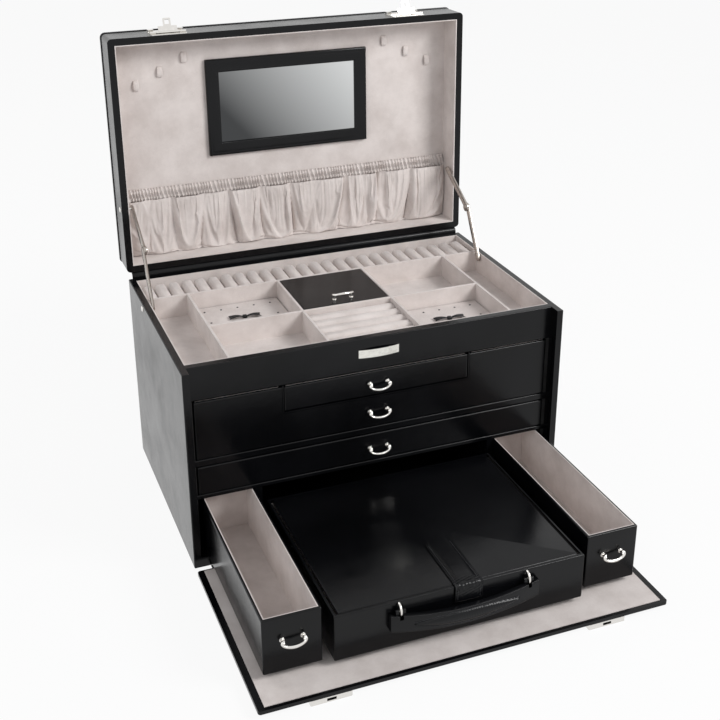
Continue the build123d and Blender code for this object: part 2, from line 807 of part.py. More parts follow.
# Latch plates on the lid's front wall, each with two bored knuckles near the rim
lid_face = Plane(
    origin=lid_frame.from_local_coords((0, lid_front, rim_level)),
    x_dir=(1, 0, 0),
    z_dir=tuple(-lid_frame.y_dir),
)
knuckle_inner = latch_width / 2 - knuckle_length
with BuildPart() as latch_plates:
    for side in (-1, 1):
        with BuildSketch(lid_face):
            with Locations((side * latch_x, latch_rim_gap + latch_height / 2)):
                RectangleRounded(latch_width, latch_height, latch_corner)
            with Locations((side * latch_x, latch_rim_gap + hasp_axis_up)):
                Rectangle(2 * knuckle_inner, 2 * hasp_barrel_radius + 2 * cover_gap, mode=Mode.SUBTRACT)
        extrude(amount=latch_plate)
        for end in (-1, 1):
            start = side * latch_x + (knuckle_inner if end > 0 else -latch_width / 2)
            knuckle = Plane(
                origin=lid_face.from_local_coords((start, latch_rim_gap + hasp_axis_up, hasp_axis_out)),
                x_dir=tuple(lid_face.y_dir),
                z_dir=(1, 0, 0),
            )
            with BuildSketch(knuckle):
                Circle(hasp_barrel_radius)
            extrude(amount=knuckle_length)
            with BuildSketch(knuckle):
                Circle(hasp_pin_radius + hasp_pin_fit)
            extrude(amount=knuckle_length, mode=Mode.SUBTRACT)
            ear_place = (start + knuckle_length / 2, latch_height - latch_ear_below, latch_plate)
            ear = Plane(
                origin=lid_face.from_local_coords(ear_place),
                x_dir=(1, 0, 0),
                z_dir=tuple(lid_face.z_dir),
            )
            with BuildSketch(ear):
                RectangleRounded(knuckle_length, latch_ear_height, latch_ear_round)
            extrude(amount=latch_ear_out)
save(latch_plates.part, "latch_plates")

# Hasps: a barrel on its pin, a leaf and a square eye, standing clear of the open lid
for word, side in (("left", -1), ("right", 1)):
    barrel_half = knuckle_inner - cover_gap
    pin_half = latch_width / 2
    axis_place = (side * latch_x, latch_rim_gap + hasp_axis_up, hasp_axis_out)
    axis_origin = lid_face.from_local_coords(axis_place)
    lean = math.radians(hasp_lean)
    leaf_up = (lid_face.z_dir * math.cos(lean) + lid_face.y_dir * math.sin(lean)).normalized()
    leaf = Plane(origin=axis_origin, x_dir=(1, 0, 0), z_dir=tuple(Vector(1, 0, 0).cross(leaf_up)))
    with BuildPart() as hasp:
        barrel = Plane(origin=axis_origin - Vector(barrel_half, 0, 0), x_dir=(0, 1, 0), z_dir=(1, 0, 0))
        with BuildSketch(barrel):
            Circle(hasp_barrel_radius)
        extrude(amount=2 * barrel_half)
        pin = Plane(origin=axis_origin - Vector(pin_half, 0, 0), x_dir=(0, 1, 0), z_dir=(1, 0, 0))
        with BuildSketch(pin):
            Circle(hasp_pin_radius)
        extrude(amount=2 * pin_half)
        with BuildSketch(leaf.offset(-hasp_thick / 2)):
            leaf_top = hasp_length - eye_width
            with Locations((0, leaf_top / 2)):
                Rectangle(hasp_width, leaf_top)
            with Locations((0, hasp_length - eye_width / 2 - eye_rim)):
                RectangleRounded(eye_width, eye_width + 2 * eye_rim, eye_round)
            with Locations((0, hasp_length - eye_width / 2)):
                Rectangle(eye_hole, eye_hole, mode=Mode.SUBTRACT)
        extrude(amount=hasp_thick)
    save(hasp.part, word + "_hasp")

# Front flap lying open, its lining, and the keepers under its front edge
with BuildPart() as flap_panel:
    add(board((-half_width, flap_front, flap_bottom), (half_width, flap_rear, flap_top)))
    fillet(flap_panel.edges().filter_by(Axis.Z), flap_corner)
    fillet(flap_panel.faces().sort_by(Axis.Z)[0].edges(), edge_round)
save(flap_panel.part, "flap_panel")
low = (-half_width + flap_lining_inset, flap_front + flap_lining_front, flap_top)
high = (half_width - flap_lining_inset, flap_rear - flap_lining_rear, flap_top + flap_lining)
save(board(low, high), "flap_lining")
with BuildPart() as latch_keepers:
    for side in (-1, 1):
        low = (side * latch_x - keeper_width / 2, flap_front + keeper_setback, flap_bottom - keeper_height)
        add(board(low, (low[0] + keeper_width, low[1] + keeper_length, flap_bottom)))
    fillet(latch_keepers.edges().filter_by(Axis.Z), edge_round)
    for side in (-1, 1):
        slot_x = side * latch_x
        slot_low_z = flap_bottom - keeper_height / 2 - keeper_slot_height / 2
        low = (slot_x - keeper_slot_width / 2, flap_front, slot_low_z)
        size = (keeper_slot_width, keeper_slot_depth, keeper_slot_height)
        high = [a + b for a, b in zip(low, size)]
        add(board(low, high), mode=Mode.SUBTRACT)
save(latch_keepers.part, "latch_keepers")

# Black lid over the middle compartment, with its pull
lid_low_y = cross_divider_y + half_wall + compartment_lid_gap
lid_high_y = ring_wall_front - compartment_lid_gap
compartment_half = middle_inner - compartment_lid_gap
with BuildPart() as compartment_lid:
    low = (-compartment_half, lid_low_y, cabinet_top - compartment_lid_board)
    add(board(low, (compartment_half, lid_high_y, cabinet_top)))
    fillet(compartment_lid.edges(), soft_round)
save(compartment_lid.part, "compartment_lid")
save(pull((0, lid_low_y + compartment_pull_in, cabinet_top), (0, 0, 1)), "compartment_pull")


def drawer_lining(low, high, thick=lining):
    """The lining of a box, given by the box's inner space."""
    return open_box(low, high, thick, thick)


def drawer_box(name, low, high):
    """An open drawer and its lining, saved under its name and that name with _lining."""
    save(open_box(low, high, drawer_wall, drawer_bottom, drawer_round), name)
    inner_low = (low[0] + drawer_wall, low[1] + drawer_wall, low[2] + drawer_bottom)
    inner_high = (high[0] - drawer_wall, high[1] - drawer_wall, high[2])
    save(drawer_lining(inner_low, inner_high), name + "_lining")


# Long drawer between the shelves
long_half = runner_inner - wide_side_gap
drawer_back = front_face + drawer_depth
long_top = long_drawer_z + long_drawer_height
drawer_box("long_drawer", (-long_half, front_face, long_drawer_z), (long_half, drawer_back, long_top))
save(pull((0, front_face, long_drawer_z + long_pull_up), (0, -1, 0)), "long_drawer_pull")

# Wide drawer: deep bins left and right, and a low middle under the small drawer
notch_half = housing_outer + running_gap
notch_z = housing_bottom - running_gap
wide_half = long_half
with BuildPart() as wide_drawer:
    low = (-wide_half, front_face, wide_drawer_z)
    add(open_box(low, (wide_half, drawer_back, wide_drawer_top), drawer_wall, drawer_bottom, drawer_round))
    for side in (-1, 1):
        low_x, high_x = sorted((side * notch_half, side * (notch_half + drawer_wall)))
        low = (low_x, front_face + drawer_wall / 2, wide_drawer_z + drawer_bottom / 2)
        add(board(low, (high_x, drawer_back - drawer_wall / 2, wide_drawer_top)))
    low = (-notch_half, front_face - cut_margin, notch_z)
    high = (notch_half, drawer_back + cut_margin, wide_drawer_top + cut_margin)
    add(board(low, high), mode=Mode.SUBTRACT)
save(wide_drawer.part, "wide_drawer")
bin_inner = notch_half + drawer_wall
bin_outer = wide_half - drawer_wall
wide_floor = wide_drawer_z + drawer_bottom
inside_y = (front_face + drawer_wall, drawer_back - drawer_wall)
with BuildPart() as wide_drawer_lining:
    for low_x, high_x in ((-bin_outer, -bin_inner), (bin_inner, bin_outer)):
        high = (high_x, inside_y[1], wide_drawer_top)
        add(drawer_lining((low_x, inside_y[0], wide_floor), high))
    add(drawer_lining((-notch_half, inside_y[0], wide_floor), (notch_half, inside_y[1], notch_z)))
save(wide_drawer_lining.part, "wide_drawer_lining")
save(pull((0, front_face, wide_drawer_z + wide_pull_up), (0, -1, 0)), "wide_drawer_pull")

# Small drawer in its housing
small_depth_end = small_run_end - housing_wall - running_gap
low = (-small_half, front_face, small_drawer_z)
drawer_box("small_drawer", low, (small_half, small_depth_end, small_drawer_top))
save(pull((0, front_face, small_drawer_z + small_pull_up), (0, -1, 0)), "small_drawer_pull")

# Side drawers, pulled out
side_drawer_top = side_drawer_bottom + side_drawer_height
for word, side, out in (("left", -1, left_drawer_out), ("right", 1, right_drawer_out)):
    low_x, high_x = sorted((side * side_drawer_inner, side * side_drawer_outer))
    front = front_face - out
    high = (high_x, front + drawer_depth, side_drawer_top)
    drawer_box(word + "_drawer", (low_x, front, side_drawer_bottom), high)
    middle = ((low_x + high_x) / 2, front, side_drawer_bottom + side_pull_up)
    save(pull(middle, (0, -1, 0)), word + "_drawer_pull")

# Travel case, pulled out: body, lining, and a lid that lies between the walls
case_half = partition_inner - case_side_gap
case_depth = cabinet_depth - case_shorter
case_front = front_face - case_back_out - case_depth
case_back = case_front + case_depth
case_bottom = base_top + running_gap
case_top = case_bottom + case_height
case_lid_top = case_top + case_lid_proud
lid_under = case_lid_top - case_lid_board
low = (-case_half, case_front, case_bottom)
high = (case_half, case_back, case_top)
save(open_box(low, high, case_wall, case_wall, case_round), "case_body")
low = (-case_half + case_wall, case_front + case_wall, case_bottom + case_wall)
high = (case_half - case_wall, case_back - case_wall, lid_under - cover_gap)
save(drawer_lining(low, high, case_lining), "case_lining")
lid_half_x = case_half - case_wall - case_lid_side_gap
case_lid_front = case_front + case_wall + case_lid_end_gap
case_lid_back = case_back - case_wall - case_lid_end_gap
low = (-lid_half_x, case_lid_front, lid_under)
save(board(low, (lid_half_x, case_lid_back, case_lid_top), soft_round), "case_lid")

# Strap of the case lid: along the lid, over the front wall and down its face
strap_rear = case_lid_front + strap_on_top
strap_face = case_front - cover_gap
strap_top = case_lid_top + strap_thick
with BuildPart() as case_strap:
    with BuildSketch(Plane.YZ.offset(strap_x - strap_width / 2)):
        with BuildLine():
            Polyline(
                (strap_rear, case_lid_top),
                (strap_rear, strap_top),
                (strap_face - strap_thick, strap_top),
                (strap_face - strap_thick, case_top - strap_drop),
                (strap_face, case_top - strap_drop),
                (strap_face, case_lid_top),
                close=True,
            )
        make_face()
    extrude(amount=strap_width)
    fillet(case_strap.edges().filter_by(Axis.Z).group_by(Axis.Y)[-1], strap_end_round)
    fillet(case_strap.edges().filter_by(Axis.X).group_by(Axis.Z)[-1].sort_by(Axis.Y)[0], strap_fold_round)
save(case_strap.part, "case_strap")

# Half-ring loops on the case's front, in upright planes
loop_z = case_top - handle_loop_below
with BuildPart() as case_handle_loops:
    for side in (-1, 1):
        x = side * handle_loop_x
        with BuildLine() as ring:
            ThreePointArc(
                (x, case_front, loop_z + handle_loop_radius),
                (x, case_front - handle_loop_radius, loop_z),
                (x, case_front, loop_z - handle_loop_radius),
            )
        with BuildSketch(Plane(origin=ring.line @ 0, z_dir=ring.line % 0)):
            Circle(handle_loop_wire)
        sweep(path=ring.line)
save(case_handle_loops.part, "case_handle_loops")

# Padded handle: a bowed grip, with ends slotted round the loops and hung on cross pins
pin_y = case_front - handle_pin_out
grip_z = loop_z - handle_height / 2 - handle_drop
half_span = handle_span / 2
with BuildPart() as case_handle:
    with BuildLine() as grip_line:
        ThreePointArc(
            (-half_span, pin_y, grip_z),
            (0, pin_y - handle_bow, grip_z - handle_sag),
            (half_span, pin_y, grip_z),
        )
    start = grip_line.line @ 0
    with BuildSketch(Plane(origin=start, x_dir=(0, 1, 0), z_dir=grip_line.line % 0)):
        RectangleRounded(handle_thick, handle_height, handle_round)
    sweep(path=grip_line.line)
    for side in (-1, 1):
        x = side * handle_loop_x
        low = (x - handle_slot / 2, pin_y - handle_height, loop_z - handle_height)
        high = (x + handle_slot / 2, pin_y + handle_height, loop_z + handle_height)
        add(board(low, high), mode=Mode.SUBTRACT)
        for end in (-1, 1):
            inner = x + end * handle_slot / 2
            low_x, high_x = sorted((inner, inner + end * handle_strut))
            low = (low_x, pin_y - handle_strut_half, grip_z)
            add(board(low, (high_x, pin_y + handle_strut_half, loop_z + handle_strut_half)))
        pin_plane = Plane(origin=(x - handle_slot, pin_y, loop_z), x_dir=(0, 1, 0), z_dir=(1, 0, 0))
        with BuildSketch(pin_plane):
            Circle(handle_pin_radius)
        extrude(amount=2 * handle_slot)
save(case_handle.part, "case_handle")

for word, value in (
    ("lid hinge", (0, lid_hinge_y, lid_hinge_z)),
    ("lid stay pivot", tuple(lid_pivot)),
    ("elbow", (0, elbow_y, elbow_z)),
    ("cabinet stay pivot", (0, stay_body_y, stay_body_z)),
    ("hasp axis", tuple(lid_face.from_local_coords((0, latch_rim_gap + hasp_axis_up, hasp_axis_out)))),
    ("flap hinge", (0, flap_hinge_y, flap_bottom)),
    ("compartment hinge", (0, lid_high_y, cabinet_top)),
    ("case lid hinge", (0, case_lid_back, case_lid_top)),
    ("handle axis", (0, pin_y, loop_z)),
):
    print(word, [round(v, 3) for v in value])
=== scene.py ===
import json
import math
import random

import bpy
from mathutils import Matrix, Vector


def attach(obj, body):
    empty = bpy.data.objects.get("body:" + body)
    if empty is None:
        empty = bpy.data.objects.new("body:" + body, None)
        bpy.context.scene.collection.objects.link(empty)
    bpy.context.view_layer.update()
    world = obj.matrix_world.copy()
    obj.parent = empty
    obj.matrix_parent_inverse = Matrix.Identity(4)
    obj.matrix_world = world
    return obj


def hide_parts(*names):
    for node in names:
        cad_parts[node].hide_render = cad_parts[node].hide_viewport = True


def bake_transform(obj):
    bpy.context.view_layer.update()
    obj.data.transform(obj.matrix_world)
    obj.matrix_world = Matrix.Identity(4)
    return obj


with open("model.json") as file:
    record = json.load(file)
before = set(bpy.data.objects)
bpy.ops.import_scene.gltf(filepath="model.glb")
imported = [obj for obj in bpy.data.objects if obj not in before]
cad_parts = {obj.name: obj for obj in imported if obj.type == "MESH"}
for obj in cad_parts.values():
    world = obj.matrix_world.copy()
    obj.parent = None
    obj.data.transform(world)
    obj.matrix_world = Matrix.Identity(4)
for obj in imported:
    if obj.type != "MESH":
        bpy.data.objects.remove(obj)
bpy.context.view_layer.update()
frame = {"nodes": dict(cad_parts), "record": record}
nodes = frame["nodes"]
random.seed(11)
mm = 0.001
print("frame loaded")

# the lid's own plane when it stands open: x across, y up along the lid, z out of its lining
lidPlane = {"foot": (0, 0.173294, 0.241582), "openBy": 91.1}
lidTilt = math.radians(lidPlane["openBy"] - 90)
lidFace = Matrix.Translation(lidPlane["foot"]) @ Matrix.Rotation(math.radians(90) - lidTilt, 4, "X")


# small helpers, used by every piece

def deselect():
    bpy.ops.object.select_all(action="DESELECT")


def selectOnly(*objs):
    if bpy.context.object and bpy.context.object.mode != "OBJECT":
        leaveEdit()
    deselect()
    for obj in objs:
        obj.select_set(True)
    bpy.context.view_layer.objects.active = objs[0]


def startEdit():
    bpy.ops.object.mode_set(mode="EDIT")


def leaveEdit():
    bpy.ops.object.mode_set(mode="OBJECT")


def pickParts(obj, kind, test):  # leaves the object in edit mode with those parts selected
    selectOnly(obj)
    startEdit()
    bpy.ops.mesh.select_mode(type=kind)
    bpy.ops.mesh.select_all(action="DESELECT")
    leaveEdit()
    parts = {"VERT": obj.data.vertices, "EDGE": obj.data.edges, "FACE": obj.data.polygons}[kind]
    for part in parts:
        part.select = test(part)
    startEdit()


def levelPicked(obj, level):  # puts the selected points on one level and goes on in edit mode
    leaveEdit()
    for vert in obj.data.vertices:
        if vert.select:
            vert.co.z = level * mm
    startEdit()


def edgeMiddle(obj, edge):
    return (obj.data.vertices[edge.vertices[0]].co + obj.data.vertices[edge.vertices[1]].co) / 2


def addBlock(low, high):  # a cube between two corners, in millimetres, shaped further by each piece
    deselect()
    size = [(b - a) * mm for a, b in zip(low, high)]
    centre = [(a + b) / 2 * mm for a, b in zip(low, high)]
    bpy.ops.mesh.primitive_cube_add(size=1, location=centre, scale=size)
    bpy.ops.object.transform_apply(location=True, rotation=True, scale=True)
    return bpy.context.object


def addGrid(low, high, across, up):  # a flat sheet between two corners in x and y
    deselect()
    centre = ((low[0] + high[0]) / 2 * mm, (low[1] + high[1]) / 2 * mm, 0)
    scale = ((high[0] - low[0]) * mm, (high[1] - low[1]) * mm, 1)
    bpy.ops.mesh.primitive_grid_add(x_subdivisions=across, y_subdivisions=up, size=1, location=centre)
    sheet = bpy.context.object
    sheet.scale = scale
    bpy.ops.object.transform_apply(location=True, rotation=True, scale=True)
    return sheet


def bevelAll(obj, width, segments, limit=30):
    addModifier(obj, "BEVEL", width=width * mm, segments=segments, limit_method="ANGLE",
                angle_limit=math.radians(limit), harden_normals=False)


def addModifier(obj, kind, **values):
    selectOnly(obj)
    modifier = obj.modifiers.new(kind.title(), kind)
    for key, value in values.items():
        setattr(modifier, key, value)
    bpy.ops.object.modifier_apply(modifier=modifier.name)


def smooth(obj, angle):
    selectOnly(obj)
    bpy.ops.object.shade_smooth_by_angle(angle=math.radians(angle))


def place(obj, matrix):
    obj.data.transform(matrix)
    return obj


def placeCopy(source, matrix):  # a copy with its own mesh
    twin = source.copy()
    twin.data = source.data.copy()
    bpy.context.scene.collection.objects.link(twin)
    return place(twin, matrix)


def joinAll(*parts):
    selectOnly(*parts)
    bpy.ops.object.join()
    return bpy.context.object


def putCopies(source, places):  # copies of one small shape, joined into one piece
    copies = [placeCopy(source, where) for where in places]
    bpy.data.objects.remove(source)
    return joinAll(*copies)


def axesAt(where, ahead, side, out):  # a place in millimetres, with x, y and z along three directions
    return Matrix.Translation(Vector(where) * mm) @ Matrix((ahead, side, out)).transposed().to_4x4()


def smoothStep(t):
    t = min(max(t, 0.0), 1.0)
    return t * t * (3 - 2 * t)


def bell(off, width):
    return math.exp(-(off / width) ** 2)


def moveVerts(obj, change):  # change takes a point in millimetres and gives it back moved
    for vert in obj.data.vertices:
        vert.co = Vector(change(*(vert.co / mm))) * mm


def alongPath(points, pitch, closed=False, trim=0.0):  # places on a path, each turned so x runs along it
    places = []
    ends = points + [points[0]] if closed else points
    for start, end in zip(ends, ends[1:]):
        start, end = Vector(start), Vector(end)
        run = (end - start).length - 2 * trim
        if run <= 0:
            continue
        count = max(1, round(run / pitch))
        ahead = (end - start).normalized()
        side = Vector((0, 0, 1)).cross(ahead)
        if side.length < 0.1:
            side = Vector((0, 1, 0)).cross(ahead)
        side.normalize()
        for number in range(count):
            where = start + ahead * (trim + run * (number + 0.5) / count)
            places.append(axesAt(where, ahead, side, ahead.cross(side)))
    return places


def addTube(points, radii):  # a round bar along points in millimetres
    curve = bpy.data.curves.new("bar", "CURVE")
    curve.dimensions = "3D"
    curve.bevel_depth = mm
    curve.bevel_resolution = 2
    curve.use_fill_caps = True
    spline = curve.splines.new("NURBS")
    spline.points.add(len(points) - 1)
    for point, where, radius in zip(spline.points, points, radii):
        point.co = (*(Vector(where) * mm), 1)
        point.radius = radius
    spline.order_u = 3
    spline.use_endpoint_u = True
    spline.resolution_u = 5
    bar = bpy.data.objects.new("bar", curve)
    bpy.context.scene.collection.objects.link(bar)
    selectOnly(bar)
    bpy.ops.object.convert(target="MESH")
    return bpy.context.object


def addDome(centre, radius):
    deselect()
    bpy.ops.mesh.primitive_uv_sphere_add(segments=16, ring_count=8, radius=radius * mm)
    return place(bpy.context.object, Matrix.Translation(Vector(centre) * mm))


def addDisc(centre, radius, depth, sides, axis="Z"):  # its axis is z or x
    deselect()
    bpy.ops.mesh.primitive_cylinder_add(vertices=sides, radius=radius * mm, depth=depth * mm)
    turn = Matrix.Rotation(math.radians(90), 4, "Y") if axis == "X" else Matrix.Identity(4)
    return place(bpy.context.object, Matrix.Translation(Vector(centre) * mm) @ turn)


def cutWith(obj, cutter):
    addModifier(obj, "BOOLEAN", operation="DIFFERENCE", object=cutter, solver="EXACT")
    bpy.data.objects.remove(cutter)


def roundedLoop(half, low, high, radius, w, steps=6):
    points = []
    for x, y, start in ((half, high, 0), (-half, high, 90), (-half, low, 180), (half, low, 270)):
        cx, cy = x - math.copysign(radius, x), y - (radius if y == high else -radius)
        for number in range(steps + 1):
            a = math.radians(start + 90 * number / steps)
            points.append((cx + radius * math.cos(a), cy + radius * math.sin(a), w))
    return points


def finishPiece(obj, name, material, body, replaced=()):
    selectOnly(obj)
    bpy.ops.object.transform_apply(location=True, rotation=True, scale=True)
    obj.name = name
    obj.data.name = name
    obj.data.materials.clear()
    obj.data.materials.append(material)
    if body:  # a blended piece rides on none
        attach(obj, body)
    if replaced:
        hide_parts(*replaced)
    return obj


# stitches: short threads that dip at both ends

stitchLook = {"width": 0.62, "height": 0.5, "edge": 0.18, "dip": 0.12}


def addStitches(name, body, places, length, turn=None, s=stitchLook):
    stitch = addBlock((-0.5, -0.5, -0.5), (0.5, 0.5, 0.5))
    place(stitch, Matrix.Diagonal((length, s["width"], s["height"], 1)))
    pickParts(stitch, "FACE", lambda face: abs(face.normal.x) > 0.9)
    bpy.ops.transform.resize(value=(1, 0.55, 0.5))
    bpy.ops.transform.translate(value=(0, 0, -s["dip"] * mm))
    leaveEdit()
    pickParts(stitch, "EDGE", lambda edge: abs((stitch.data.vertices[edge.vertices[0]].co
                                                - stitch.data.vertices[edge.vertices[1]].co).x) > mm)
    bpy.ops.mesh.bevel(offset=s["edge"] * mm, segments=1)
    leaveEdit()
    row = putCopies(stitch, places)
    if turn:
        place(row, turn)
    finishPiece(row, name, thread, body)


# materials

def newMaterial(name, **sockets):
    material = bpy.data.materials.new(name)
    material.use_nodes = True
    shader = material.node_tree.nodes["Principled BSDF"]
    for socket, value in sockets.items():
        shader.inputs[socket.replace("_", " ")].default_value = value
    coords = material.node_tree.nodes.new("ShaderNodeTexCoord")
    coords.name = "coords"
    return material


def addNoise(material, scale, detail, rough=0.5, stretch=None):
    tree = material.node_tree
    noise = tree.nodes.new("ShaderNodeTexNoise")
    noise.inputs["Scale"].default_value = scale
    noise.inputs["Detail"].default_value = detail
    noise.inputs["Roughness"].default_value = rough
    source = tree.nodes["coords"].outputs["Object"]
    if stretch:
        mapping = tree.nodes.new("ShaderNodeMapping")
        mapping.inputs["Scale"].default_value = stretch
        tree.links.new(source, mapping.inputs["Vector"])
        source = mapping.outputs["Vector"]
    tree.links.new(source, noise.inputs["Vector"])
    return noise.outputs["Fac"]


def addCells(material, scale):
    tree = material.node_tree
    cells = tree.nodes.new("ShaderNodeTexVoronoi")
    cells.inputs["Scale"].default_value = scale
    tree.links.new(tree.nodes["coords"].outputs["Object"], cells.inputs["Vector"])
    return cells.outputs["Distance"]


def addMath(tree, operation, *values):  # each value is a number or another node's output
    node = tree.nodes.new("ShaderNodeMath")
    node.operation = operation
    for socket, value in zip(node.inputs, values):
        if isinstance(value, bpy.types.NodeSocket):
            tree.links.new(value, socket)
        else:
            socket.default_value = value
    return node.outputs[0]


def addRamp(material, source, stops):  # stops are (place, grey or colour)
    tree = material.node_tree
    ramp = tree.nodes.new("ShaderNodeValToRGB")
    elements = ramp.color_ramp.elements
    while len(elements) < len(stops):
        elements.new(0.5)
    for element, (where, colour) in zip(elements, stops):
        element.position = where
        element.color = (*colour, 1) if hasattr(colour, "__len__") else (colour, colour, colour, 1)
    tree.links.new(source, ramp.inputs["Fac"])
    return ramp.outputs["Color"]


def addBumps(material, layers):  # layers are (height source, strength, distance in mm)
    tree = material.node_tree
    normal = None
    for height, strength, distance in layers:
        bump = tree.nodes.new("ShaderNodeBump")
        bump.inputs["Strength"].default_value = strength
        bump.inputs["Distance"].default_value = distance * mm
        tree.links.new(height, bump.inputs["Height"])
        if normal:
            tree.links.new(normal, bump.inputs["Normal"])
        normal = bump.outputs["Normal"]
    tree.links.new(normal, tree.nodes["Principled BSDF"].inputs["Normal"])


def linkTo(material, source, socket):
    material.node_tree.links.new(source, material.node_tree.nodes["Principled BSDF"].inputs[socket])


leatherLook = {
    "dark": (0.0012, 0.0013, 0.0017), "light": (0.0032, 0.0034, 0.0043), "patch": 9, "specular": 0.23,
    "smoothest": 0.14, "roughest": 0.27, "sheenPatch": 16,
    "grain": 1500, "grainHeight": 0.035, "dents": 30, "dentHeight": 0.42, "creases": 90, "creaseHeight": 0.09,
}


def makeLeather(name, look):
    material = newMaterial(name, Specular_IOR_Level=look["specular"])
    patches = addNoise(material, look["patch"], 4)
    linkTo(material, addRamp(material, patches, [(0.35, look["dark"]), (0.7, look["light"])]), "Base Color")
    polish = addNoise(material, look["sheenPatch"], 5, 0.6)
    rough = addRamp(material, polish, [(0.3, look["smoothest"]), (0.7, look["roughest"])])
    linkTo(material, rough, "Roughness")
    addBumps(material, [
        (addNoise(material, look["dents"], 2), 0.5, look["dentHeight"]),
        (addNoise(material, look["creases"], 5, 0.65, (0.35, 1.0, 1.0)), 0.5, look["creaseHeight"]),
        (addCells(material, look["grain"]), 0.5, look["grainHeight"]),
    ])
    return material


suedeLook = {
    "worn": (0.59, 0.525, 0.495), "full": (0.77, 0.705, 0.675), "patch": 30, "fibreShare": 0.45,
    "fibre": 2400, "fibreHeight": 0.16, "nap": 260, "napHeight": 0.12, "roughness": 0.95, "sheen": 0.22,
}


def makeSuede(name, look):
    material = newMaterial(name, Roughness=look["roughness"], Specular_IOR_Level=0.15,
                           Sheen_Weight=look["sheen"], Sheen_Roughness=0.55)
    tree = material.node_tree
    fibre = addNoise(material, look["fibre"], 3, 0.7)
    cloud = addMath(tree, "MULTIPLY", addNoise(material, look["patch"], 6, 0.62), 1 - look["fibreShare"])
    mixed = addMath(tree, "MULTIPLY_ADD", fibre, look["fibreShare"], cloud)
    linkTo(material, addRamp(material, mixed, [(0.36, look["worn"]), (0.6, look["full"])]), "Base Color")
    addBumps(material, [(addNoise(material, look["nap"], 4), 0.4, look["napHeight"]),
                        (fibre, 0.5, look["fibreHeight"])])
    return material


def makeMetal(name, colour, smoothest, roughest):
    material = newMaterial(name, Base_Color=(*colour, 1), Metallic=1.0)
    rough = addRamp(material, addNoise(material, 220, 4), [(0.35, smoothest), (0.7, roughest)])
    linkTo(material, rough, "Roughness")
    addBumps(material, [(addNoise(material, 60, 2), 0.4, 0.03)])
    return material


def makePlain(name, dark, light, scale, roughness, bumpScale, bumpHeight, sheen=0.0):
    material = newMaterial(name, Roughness=roughness, Specular_IOR_Level=0.25, Sheen_Weight=sheen)
    tone = addRamp(material, addNoise(material, scale, 4), [(0.35, dark), (0.65, light)])
    linkTo(material, tone, "Base Color")
    addBumps(material, [(addNoise(material, bumpScale, 3), 0.5, bumpHeight)])
    return material


leather = makeLeather("leather", leatherLook)
suede = makeSuede("suede", suedeLook)
nickel = makeMetal("nickel", (0.74, 0.72, 0.69), 0.08, 0.2)
stayMetal = makeMetal("stayMetal", (0.40, 0.365, 0.335), 0.14, 0.28)
plateMetal = makeMetal("plateMetal", (0.80, 0.79, 0.74), 0.16, 0.3)
felt = makePlain("felt", (0.012, 0.012, 0.013), (0.03, 0.03, 0.032), 300, 0.95, 1500, 0.2, 0.3)
ribbon = makePlain("ribbon", (0.004, 0.004, 0.005), (0.012, 0.012, 0.014), 60, 0.42, 1800, 0.05)
runnerPlastic = makePlain("runnerPlastic", (0.01, 0.01, 0.01), (0.02, 0.02, 0.02), 80, 0.6, 700, 0.05)
fibreboard = makePlain("fibreboard", (0.16, 0.12, 0.085), (0.24, 0.18, 0.13), 900, 0.85, 1400, 0.15)
thread = makePlain("thread", (0.055, 0.055, 0.06), (0.10, 0.10, 0.108), 900, 0.7, 4000, 0.05)

# painted reflection: the mirror's colour darkens towards its lower left corner, standing in for the dark room
# it reflects
mirrorLook = {
    "reflectionSlant": 1.15, "reflectionTones": ((0.33, (0.06, 0.062, 0.064)), (0.56, (0.66, 0.67, 0.67))), "roughness": 0.03,
}


def makeMirror(look):
    material = newMaterial("mirrorPaintedReflection", Metallic=1.0, Roughness=look["roughness"])
    tree = material.node_tree
    split = tree.nodes.new("ShaderNodeSeparateXYZ")
    tree.links.new(tree.nodes["coords"].outputs["Object"], split.inputs[0])
    # painted reflection: a fixed slope from near-black to grey across the glass
    slope = addMath(tree, "MULTIPLY_ADD", split.outputs["X"], look["reflectionSlant"], split.outputs["Z"])
    linkTo(material, addRamp(material, slope, look["reflectionTones"]), "Base Color")
    return material


mirrorPaintedReflection = makeMirror(mirrorLook)
print("materials made")

# the CAD nodes that stay take the finish of their slot
slotMaterials = {
    "leather": leather, "suede": suede, "nickel": nickel, "felt": felt, "ribbon": ribbon, "plate": plateMetal,
    "mirror": mirrorPaintedReflection, "runner": runnerPlastic, "board": fibreboard,
}
for entry in frame["record"]["subparts"]:
    node = nodes[entry["node"]]
    node.data.materials.clear()
    node.data.materials.append(slotMaterials[entry["material_slot"]])
print("nodes dressed")

# gathered pocket across the foot of the lid

pocket = {
    "half": 210.4, "foot": 14.6, "top": 84.0, "belly": 15.5, "mouth": 3.6, "across": 420, "up": 48,
    "creases": (  # place under the band and at the foot, depth, reach to the left and right
        (-186, -187, 0.55, 5, 9), (-153, -152, 0.6, 9, 2.2), (-117, -119, 0.62, 3, 8),
        (-80, -75, 0.95, 10, 1.4), (-44, -38, 0.8, 2.2, 7), (-5, 0, 0.9, 1.6, 6), (33, 14, 0.45, 10, 4),
        (68, 62, 0.97, 1.5, 9), (96, 100, 0.35, 5, 5), (118, 110, 0.95, 1.4, 8), (161, 158, 0.95, 9, 1.3),
    ),
    "pleat": 0.4, "pleatWidth": 8.0, "thick": 0.8, "flat": (0.470, 0.080),
    "grow": 0.03, "frames": 22, "stiffness": 20, "bending": 0.6, "gravity": 0.4, "mostMove": 7, "outMost": 17,
    "bandTop": 97.6, "bandOut": 3.7, "ruffleWidth": 4.1, "ruffleHeight": 1.6, "seams": (86.6, 94.8),
}


